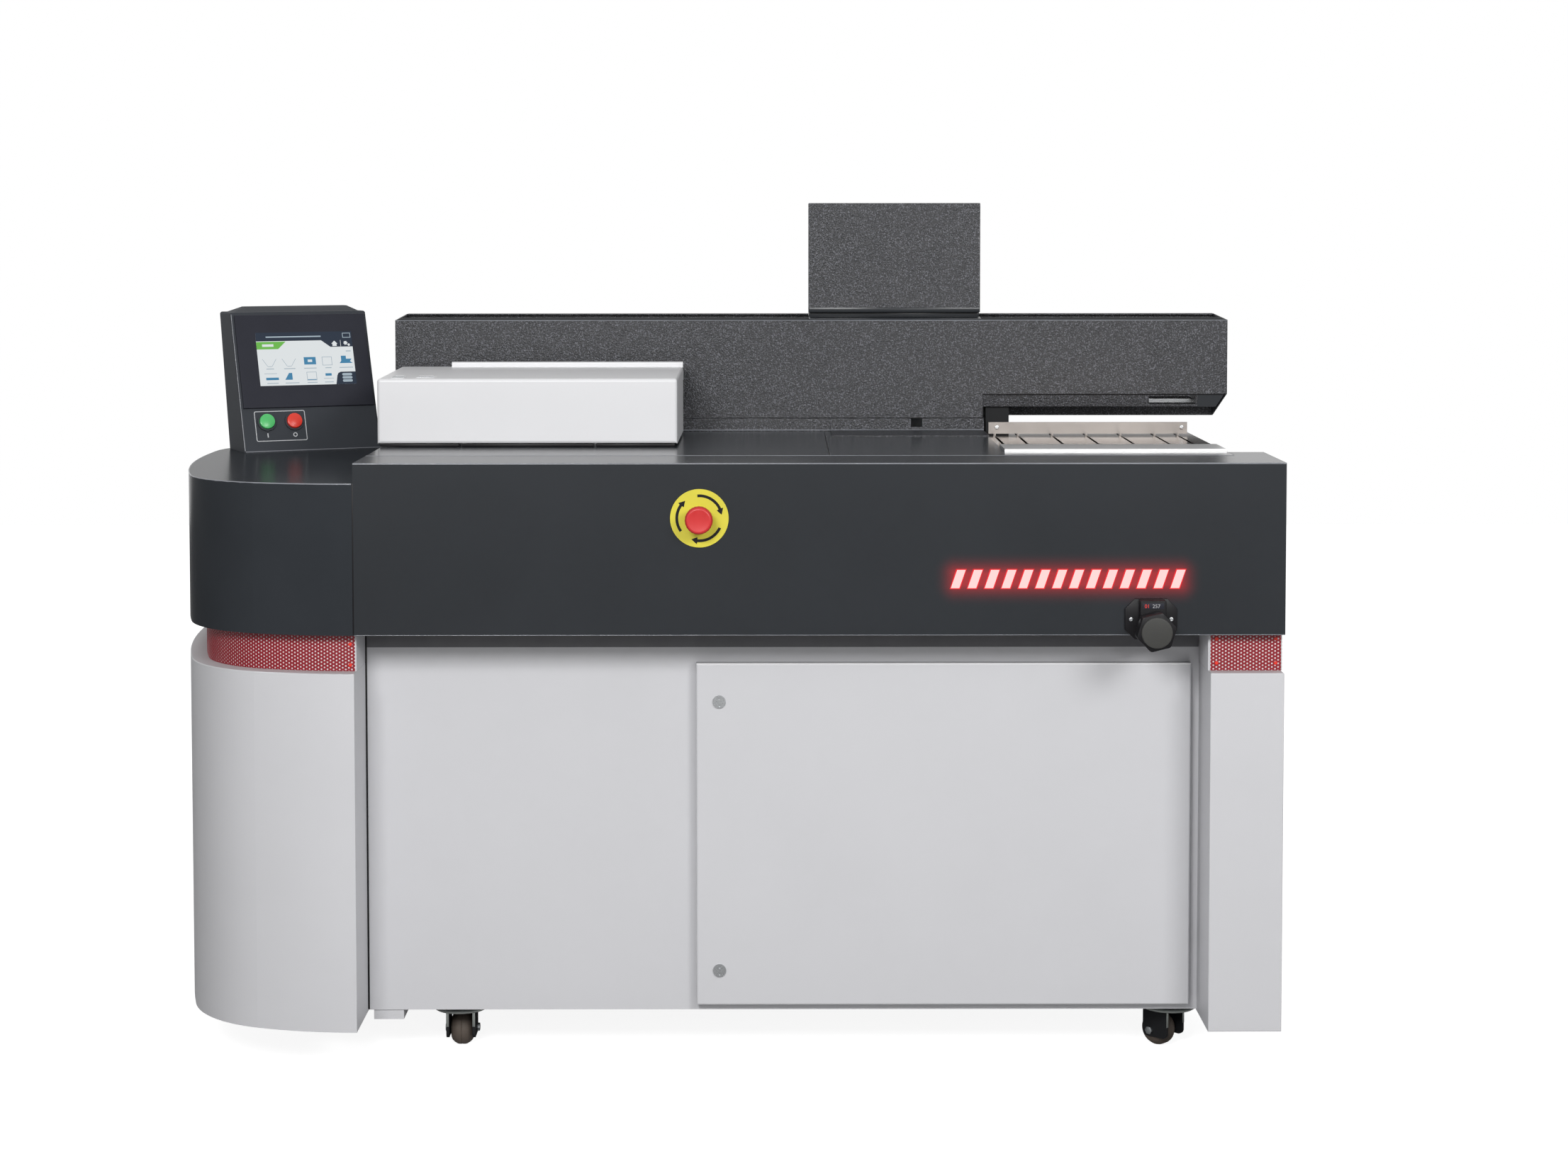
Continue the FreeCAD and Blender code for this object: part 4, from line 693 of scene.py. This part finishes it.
# Distance of the six flats from the middle, radius of the round corners, points of the outline.
FLAT, ROUND, POINTS = 25.2, 28.4, 72
grip = []
for n in range(POINTS):
    turn = math.tau * n / POINTS
    lobe = (turn - math.radians(14)) % (math.tau / 6) - math.tau / 12
    far = min(FLAT / math.cos(lobe), ROUND)
    grip.append((far * math.cos(turn), far * math.sin(turn)))
handle = slab(grip, 27.5, knob_place, edge=1.6)
disc = spun([(0, 26), (21.8, 26), (21.8, 30.6), (21, 31.6), (19.6, 31.9), (0, 31.4)], knob_place,
            48)
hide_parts("adjust_knob")
dress(handle, "hand_knob_grip", black_abs, "hand_knob", 35)
dress(disc, "hand_knob_cap", knob_grey, "hand_knob", 35)

octagon = []
for sx, sz, first in ((1, 1, 1), (-1, 1, 0), (-1, -1, 1), (1, -1, 0)):
    pair = [(618 + sx * 37, 668 + sz * 15), (618 + sx * 23, 668 + sz * 29)]
    octagon += pair if first else pair[::-1]
flange = slab(octagon, 5, at(0, -360, 0), edge=0.8)
case = cuboid((600, -385, 640), (637, -360.5, 697), 1.6, 3)
indicator = joined([flange, case])
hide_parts("position_indicator")
dress(indicator, "position_indicator_case", black_abs, "machine", 35)
window = cuboid((603.5, -385.25, 685.2), (633.5, -384.6, 693.6), 0.2)
dress(window, "indicator_window", gloss_black, "machine")
screws = copies(socket_screw(3.2, 1.8), [at(618 + side * 28.5, -365, 668) for side in (-1, 1)])
dress(screws, "indicator_screws", bright_steel, "machine")
# Painted light: the counter's printed digits glow, their colour given by emission and not by lamps.
digit_red = lit("red counter digits", "FF4A3E", 0.8)
digit_white = lit("white counter digits", "D8D8DA", 0.6)
for text, left, coat, name in (("01", 606, digit_red, "left"), ("257", 617, digit_white, "right")):
    bpy.ops.object.text_add(rotation=(math.radians(90), 0, 0))
    digits = bpy.context.object
    digits.data.body = text
    digits.data.size = 7.5 * MM
    digits.data.extrude = 0.05 * MM
    digits.location = (left * MM, -0.38532, 0.6868)
    bpy.ops.object.convert(target="MESH")
    bpy.ops.object.transform_apply()
    dress(digits, "counter_digits_" + name, coat, "machine")

# --- Lit sign ----------------------------------------------------------------------------------

# Painted glow: a glowing sheet a little larger than each bar paints the red halo round the sign's
# bars.
painted_halo_glow = lit("red sign halo", "FF1F2A", 0.9)
SIGN_LEFT, SIGN_STEP, SIGN_BARS = 334, 24, 14
halo_sheets = []
for step in range(SIGN_BARS):
    x = SIGN_LEFT + SIGN_STEP * step
    halo_sheets.append(slab([(x - 1.6, 710.6), (x + 13.2, 710.6), (x + 22.6, 739.4), (x + 7.6, 739.4)],
                      0.3, at(0, -360, 0)))
dress(joined(halo_sheets), "sign_halo_glow", painted_halo_glow, "machine")
# Painted light: the coat round the sign glows red itself, fading with the distance from the row of
# bars, in place of the sign's light falling on it.
painted_glow_coat, tree, shader, place = coated("charcoal coat with painted sign glow", "272A2E", 0.24, 0.9, 0.010,
                                      0.07, 0.3)
apart = add(tree, "ShaderNodeSeparateXYZ", Vector=place)
reach = []
for axis, middle, half in (("X", 0.5005, 0.160), ("Z", 0.725, 0.008)):
    off = add(tree, "ShaderNodeMath", {"operation": "SUBTRACT", 1: middle},
              _0=apart.outputs[axis])
    size = add(tree, "ShaderNodeMath", {"operation": "ABSOLUTE"}, _0=off.outputs[0])
    past = add(tree, "ShaderNodeMath", {"operation": "SUBTRACT", 1: half}, _0=size.outputs[0])
    beyond = add(tree, "ShaderNodeMath", {"operation": "MAXIMUM", 1: 0}, _0=past.outputs[0])
    reach.append(add(tree, "ShaderNodeMath", {"operation": "POWER", 1: 2}, _0=beyond.outputs[0]))
both = add(tree, "ShaderNodeMath", {"operation": "ADD"}, _0=reach[0].outputs[0],
           _1=reach[1].outputs[0])
root = add(tree, "ShaderNodeMath", {"operation": "SQRT"}, _0=both.outputs[0])
near = between(tree, root.outputs[0], 0.0, 0.036, 1.0, 0.0)
soft = add(tree, "ShaderNodeMath", {"operation": "POWER", 1: 3.2}, _0=near)
shader.inputs["Emission Color"].default_value = paint("E0141C")
glow = add(tree, "ShaderNodeMath", {"operation": "MULTIPLY", 1: 0.5}, _0=soft.outputs[0])
tree.links.new(glow.outputs[0], shader.inputs["Emission Strength"])
nodes["front_fascia"].data.materials[0] = painted_glow_coat

# --- Casters -----------------------------------------------------------------------------------

ring_zinc = turned_metal("pale passivated zinc ring", "A9AEAA", 0.45)
for corner, x, y, turned in (("front_left", -384.5, -185, 0), ("front_right", 672, -185, 45),
                             ("rear_left", -384.5, 345, 0), ("rear_right", 672, 345, 0)):
    stand = at(x, y, 0, (0, 0, turned))
    lying = at(-16, 18, 25, (0, 0, 90))
    tyre = spun([(4.1, 0), (16, 0), (18.6, 1.2), (21.6, 4.2), (24.3, 8.6), (25, 11.5),
                 (25, 15.3), (24.3, 16), (25, 16.7), (25, 20.5), (24.3, 23.4), (21.6, 27.8),
                 (18.6, 30.8), (16, 32), (4.1, 32)], stand @ lying, 56)
    hub = copies(spun([(4.15, 0), (11, 0), (11, 1.1), (8.2, 1.5), (7.4, 0.8), (4.15, 0.8)],
                      steps=28),
                 [stand @ at(-16, 18, 25, (0, 0, -90)), stand @ at(16, 18, 25, (0, 0, 90))])
    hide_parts("wheel_" + corner)
    dress(tyre, "tyre_" + corner, tread, "roller_" + corner, 40)
    dress(hub, "wheel_hub_" + corner, black_abs, "roller_" + corner)
    body = {"front_left": "swivel_left", "front_right": "swivel_right"}.get(corner, "machine")
    nuts = [slab(ring(6.4, 6), 4.2, stand @ at(side * 21.4, 18, 25, (0, 0, 90 * side)), 0, 0.7)
            for side in (-1, 1)]
    dress(joined(nuts), "axle_nuts_" + corner, zinc, body)
    rim = spun([(30, -0.2), (38.5, -0.2), (40.6, 1.2), (41, 3.2), (39.6, 5.2), (36, 6.2),
                (30, 6.2)], stand @ at(0, 0, 60.4, (-90, 0, 0)), 56)
    edges = [cuboid((side * 19.6 - 2.05, -13.6, 34), (side * 19.6 + 2.05, -12.9, 58), 0.3)
             for side in (-1, 1)]
    for edge in edges:
        edge.data.transform(stand)
    dress(joined([rim] + edges), "swivel_rim_" + corner, ring_zinc, body, 40)

# --- Drive chain -------------------------------------------------------------------------------

# Links in the loop, x of the two sprockets, height of both, and the chain's radius round them.
LINKS, LEFT, RIGHT, HIGH, TURN = 320, -425.0, 780.0, 961.0, 24.3
pitch = (2 * (RIGHT - LEFT) + math.tau * TURN) / LINKS


def on_chain(along):
    """A point of the chain's centre line."""
    along %= pitch * LINKS
    span, bend = RIGHT - LEFT, math.pi * TURN
    if along < span:
        return LEFT + along, HIGH - TURN
    if along < span + bend:
        turn = (along - span) / TURN
        return RIGHT + TURN * math.sin(turn), HIGH - TURN * math.cos(turn)
    if along < 2 * span + bend:
        return RIGHT - (along - span - bend), HIGH + TURN
    turn = (along - 2 * span - bend) / TURN
    return LEFT - TURN * math.sin(turn), HIGH + TURN * math.cos(turn)


def link_plate(wide, base):
    """One side plate of a link: two round ends and a waist."""
    outline = []
    for end, first in ((pitch / 2, -65), (-pitch / 2, 115)):
        corners = [polar(3.3, first + a) for a in (0, 44, 88, 130)]
        outline += [(end + across, high) for across, high in corners]
    return slab(outline, wide, base=base)


rollers, plates = [], []
for n in range(LINKS):
    x, z = on_chain(n * pitch)
    x1, z1 = on_chain((n + 1) * pitch)
    rollers.append(at(x, 0, z))
    slant = -math.degrees(math.atan2(z1 - z, x1 - x))
    plates.append((at((x + x1) / 2, 0, (z + z1) / 2, (0, slant, 0)), n % 2))
roll = spun([(0, -304.9), (1.2, -304.9), (1.2, -303.6), (2.5, -303.6), (2.5, -299.4),
             (1.2, -299.4), (1.2, -298.1), (0, -298.1)], steps=8)
chain = [copies(roll, rollers)]
for odd, bases in enumerate(((-304.1, -299.7), (-305, -298.8))):
    both = joined([link_plate(0.8, base) for base in bases])
    chain.append(copies(both, [place for place, kind in plates if kind == odd]))
chain = joined(chain)
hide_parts("drive_chain")
dress(chain, "roller_chain", bright_steel, "machine", 40)

# --- Sprockets ---------------------------------------------------------------------------------

FLANKS = 38    # a tip and a root for each of the 19 teeth
for name, x, body in (("drive", LEFT, "drive_wheel"), ("idler", RIGHT, "idler_wheel")):
    teeth = []
    for n in range(FLANKS):
        far = 20.2 if n % 2 else 17.8
        for off in (-2.2, 2.2):
            turn = math.radians(360 / FLANKS * n + off)
            teeth.append((x + far * math.cos(turn), HIGH + far * math.sin(turn)))
    dress(slab(teeth, 0.6, base=-300 + 0.02), name + "_sprocket_teeth", bright_steel, body)

# --- Beam and tower ----------------------------------------------------------------------------

on_beam = at(0, 250, 1072, (math.degrees(math.atan2(6, 147)), 0, 0))
plate = cuboid((139.9, 2.5, 0.5), (421.6, 146, 2.1), 0.4)
plate.data.transform(on_beam)
foot = [plate, cuboid((139.9, 300, 1074.8), (421.6, 303, 1084), 0.3)]
dress(joined(foot), "tower_foot_plate", charcoal, "carriage")
lining = joined([cuboid((-533.5, 1.6, 0.03), (821.5, 51.6, 0.35), 0.1),
                 cuboid((-533.5, 135.6, 0.03), (821.5, 146.6, 0.35), 0.1)])
lining.data.transform(on_beam)
dress(lining, "beam_top_lining", dull_coat, "machine")
lip = cuboid((140.2, 286.2, 1083.6), (421.3, 287.4, 1091.4), 0.5)
dress(lip, "tower_bent_lip", charcoal, "carriage")
spots = [at(x, 326, 1249, (0, 0, 180)) for x in (152, 409)]
dress(copies(socket_screw(4.6, 2.4), spots), "tower_screws", black_enamel, "carriage")
spots = [at(824, y, z, (0, 0, 90)) for y in (270, 376) for z in (970, 1050)]
spots += [at(-536, y, z, (0, 0, -90)) for y in (270, 376) for z in (930, 1050)]
spots += [at(x, 397, z, (0, 0, 180)) for x in (-500, -240, 20, 280, 540, 790)
          for z in (925, 1060)]
dress(copies(socket_screw(4.2, 2.2), spots), "beam_screws", black_enamel, "machine")
shield = slab([(776.5, 929.5), (806, 929.5), (820.5, 950.8), (776.5, 950.8)], 1.2,
              at(0, 255.4, 0))
dress(shield, "beam_end_shield", charcoal, "machine")
# Painted shadow: a thin black strip along the step in the beam's front paints the shadow line
# there.
step_shadow_line = cuboid((424.3, 250.4, 949.6), (821.8, 252.6, 951.4), 0.2)
dress(step_shadow_line, "beam_step_shadow_line", black_abs, "machine")

# --- Bent edges, seams and joints --------------------------------------------------------------


def bead(points, radius, steps=8):
    """A rounded edge: a thin closed rod through points in millimetres."""
    rods = []
    for first, last in zip(points, points[1:]):
        start, end = Vector(first) * MM, Vector(last) * MM
        bpy.ops.mesh.primitive_cylinder_add(
            vertices=steps, radius=radius * MM, depth=(end - start).length,
            location=(start + end) / 2,
            rotation=(end - start).to_track_quat("Z", "Y").to_euler())
        bpy.ops.object.transform_apply()
        rods.append(bpy.context.object)
    return joined(rods)


length, edge_point = drum_edge(0.7)
rim = [(*edge_point(length * n / 48), 860.3) for n in range(49)]
# Beads along bent edges, in the coat painted lighter as a highlight.
for name, points, radius, slot_name in (
        ("beam_bent_edge", [(-535.4, 250.7, 1071.3), (823.4, 250.7, 1071.3)], 0.9,
         "texture_paint"),
        ("fascia_bent_edge", [(-513.6, -359.3, 889.3), (809.6, -359.3, 889.3)], 1.0,
         "charcoal_paint"),
        ("deck_front_edge", [(-513.6, -229.8, 889.5), (756, -229.8, 889.5)], 0.9,
         "charcoal_paint"),
        ("sill_bent_edge", [(-513.6, 247.9, 891.4), (425.6, 247.9, 892.4)], 0.8,
         "texture_paint"),
        ("drum_bent_edge", rim, 1.0, "charcoal_paint"),
        ("fascia_lower_edge", [(-513, -359.6, 645), (809.4, -359.6, 645)], 0.55,
         "charcoal_paint")):
    dress(bead(points, radius), name, highlight_coat, "machine")
# The door's top edge bead, in the grey coat painted lighter as a highlight.
dress(bead([(-29.8, -269.4, 589.4), (689.2, -269.4, 589.4)], 1.0), "door_top_edge", grey_highlight_coat,
      "door")
# Painted shadow: a grey strip under the front cover stands in for the cover's shadow on the
# cabinet.
seal_and_shadow_strip = cuboid((-511.5, -253, 611.5), (703.2, -249.8, 643.8), 0.8)
dress(seal_and_shadow_strip, "cover_painted_shadow_strip", shadow_strip_grey, "machine")
# Beads along the console's bent edges, in the painted highlight coat.
lines = [[(1.5, 1.5, 3), (1.5, 1.5, 235)], [(3, 1.5, 236.5), (226, 1.5, 236.5)],
         [(2, 0.2, 0.9), (227, 0.2, 0.9)]]
console_edges = joined([bead(line, 0.9) for line in lines])
console_edges.data.transform(face)
dress(console_edges, "console_bent_edges", highlight_coat, "machine")
# The console's top rises at the rear: the upper corners of a block are drawn in to a hip.
hip = cuboid((1.5, 86, 219.8), (227.5, 149, 231.5))
for vertex in hip.data.vertices:
    if vertex.co.z > 230 * MM:
        vertex.co.x = (38 if vertex.co.x < 100 * MM else 212) * MM
        vertex.co.y = max(vertex.co.y, 132 * MM)
hip.data.transform(upright)
dress(hip, "console_rear_cap", console_coat, "machine")
for name, low, high, edge in (
        ("left_column_seam", (-514.4, -251.4, 76), (-511.6, -249.6, 643), 0.2),
        ("deck_joint", (163.4, -229, 889.8), (165.4, 133.8, 890.3), 0.1),
        ("cover_joint", (-515.1, -360.3, 645.4), (-513.3, -359.2, 861), 0.15)):
    dress(cuboid(low, high, edge), name, black_abs, "machine")

# --- Glue hood ---------------------------------------------------------------------------------

slope = at(0, -72, 994, (math.degrees(math.atan2(5, 266)), 0, 0))
shapes = []
for left, right, front, rear in ((-503, -480, 12, 58), (-465, -435, 20, 52)):
    outer = rounded_box(left, front, right, rear, 6)
    inner = rounded_box(left + 3, front + 3, right - 3, rear - 3, 4)
    flat = slope @ at(0, 0, 0, (-90, 0, 0))
    shapes.append((loop(outer, inner, 0.7, flat, 0.0), slab(inner, 0.15, flat, 0.02)))
dress(joined([pair[0] for pair in shapes]), "hood_recess_rims", white_coat, "hood")
dress(joined([pair[1] for pair in shapes]), "hood_recess_floors", zinc, "hood")
# Painted shadow: black strips fill the gap under the hood, where the gap is in shade.
gap_shadow_strips = [cuboid((x, -70, 890.3), (x + wide, -62, 895), 0.8)
         for x, wide in ((-516, 120), (-392, 200), (-188, 120))]
dress(joined(gap_shadow_strips), "hood_gap_shadow_strips", black_abs, "hood")

# --- Screws of the lay rail --------------------------------------------------------------------

lay_screw = copies(socket_screw(3.4, 2), [at(736, 156, 903), at(440, 156, 903)])
dress(lay_screw, "lay_rail_screws", bright_steel, "cover_lay")

# --- Electrical plate --------------------------------------------------------------------------

plate = joined([cuboid((46, -150, 136.6), (650, -147, 540), 0.4),
                cuboid((46, -150, 115), (650, -110, 136.6), 0.4),
                cuboid((391, -147, 136.6), (421, -110, 540), 0.4),
                cuboid((595, -147, 136.6), (625, -110, 540), 0.4)])
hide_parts("electrical_plate")
dress(plate, "device_plate", zinc, "machine")
grey_case = moulded("light grey polycarbonate case", "A9ABAC", 0.45)
fins = [cuboid((82 + 8 * n, -178, 349), (85.5 + 8 * n, -151, 544.5), 0.3) for n in range(15)]
drive = joined([cuboid((76, -226, 346.6), (206, -178, 546.6), 3, 3),
                cuboid((92, -230, 440), (190, -225.5, 530), 1.5),
                cuboid((92, -229, 356), (190, -225.5, 424), 1.5)])
dress(drive, "motor_drive_case", black_abs, "machine")
dress(joined(fins), "motor_drive_fins", bright_steel, "machine")
relays = [cuboid((236, -214, 386.6), (326, -150, 536.6), 2, 2)]
for left in (356, 436):
    relays.append(cuboid((left, -196, 416.6), (left + 60, -150, 506.6), 2, 2))
    relays.append(cuboid((left + 8, -210, 436), (left + 52, -195, 487), 2, 2))
dress(joined(relays), "control_cases", grey_case, "machine")
ports = [cuboid((242 + 10 * n, -218, z), (250 + 10 * n, -213, z + 16), 0.6)
         for n in range(8) for z in (391, 516)]
ports += [cuboid((left + 4 + 14 * n, -199, z), (left + 14 + 14 * n, -195.5, z + 12), 0.6)
          for left in (356, 436) for n in range(4) for z in (420, 491)]
ports += [cuboid((76 + 11 * n, -205, 256), (86 + 11 * n, -156, 298), 0.8) for n in range(40)]
dress(joined(ports), "terminal_blocks", gloss_black, "machine")
heads = copies(socket_screw(2.3, 1), [at(81 + 11 * n, -205, z) for n in range(40)
                                      for z in (263, 291)])
dress(heads, "terminal_screws", bright_steel, "machine")
rails = [cuboid((60, -157, z), (532, -150, z + 35), 0.4) for z in (259, 444)]
dress(joined(rails), "mounting_rails", zinc, "machine")
duct = [cuboid((76, -190, 146.6), (516, -187.5, 196.6), 0.5),
        cuboid((76, -187.5, 146.6), (516, -150, 149), 0.3)]
duct += [cuboid((78 + 10 * n, -187.5, 149), (84 + 10 * n, -150, 151.5), 0.2) for n in range(44)]
duct += [cuboid((78 + 10 * n, -187.5, 193.5), (84 + 10 * n, -150, 196), 0.2) for n in range(44)]
dress(joined(duct), "cable_duct", grey_case, "machine")

# --- Glue tank and milling motor ---------------------------------------------------------------

collar = spun([(60.2, 0), (70, 0), (70, 2.6), (69, 3.4), (61.5, 3.4), (60.2, 2.4)],
              at(-290, 50, 970, (-90, 0, 0)), 64)
bolts = copies(socket_screw(3.5, 3), [at(-290 + x, 50 + y, 970, (-90, 0, 0))
                                      for x, y in ring(80, 8, 22.5)])
cover = cuboid((-444, -34, 970), (-390, 134, 976), 1.2)
dress(joined([collar, bolts, cover]), "tank_collar", bright_steel, "machine")
body = slab(toothed(80, 33.8, 30.8), 130, at(60, 330, 668, (-90, 0, 0)))
low_bell = spun([(0, 0), (32, 0), (34, 2), (34, 14), (31, 16), (0, 16)],
                at(60, 330, 652, (-90, 0, 0)), 40)
top_bell = spun([(10.1, 0), (31, 0), (34, 2), (34, 44), (30, 49), (10.1, 49)],
                at(60, 330, 798, (-90, 0, 0)), 40)
motor = joined([body, low_bell, top_bell])
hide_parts("milling_motor")
dress(motor, "milling_motor_case", black_enamel, "machine")

# --- Rear and side of the cabinet --------------------------------------------------------------

louvre = slab(rounded_box(0, 0, 92, 8, 3.9, 4), 4, edge=1.8)
spots = [at(x, 380, z, (0, 0, 180)) for x in (-220, -110, 410, 520) for z in range(170, 400, 16)]
dress(copies(louvre, spots), "rear_louvres", light_grey, "machine")
spots = [at(x, 380, z, (0, 0, 180)) for x in (-500, -210, 93, 396, 686)
         for z in (90, 625, 655, 862)]
spots += [at(756.5, y, z, (0, 0, 90)) for y in (-150, 90, 350) for z in (92, 480, 862)]
dress(copies(socket_screw(4.2, 2.2), spots), "panel_screws", zinc, "machine")
seal_and_shadow_strip = loop(box(-23, 94, 683, 583), box(-13, 104, 673, 573), 2.6, at(0, -250, 0), 0.0)
dress(seal_and_shadow_strip, "door_seal", black_abs, "machine")
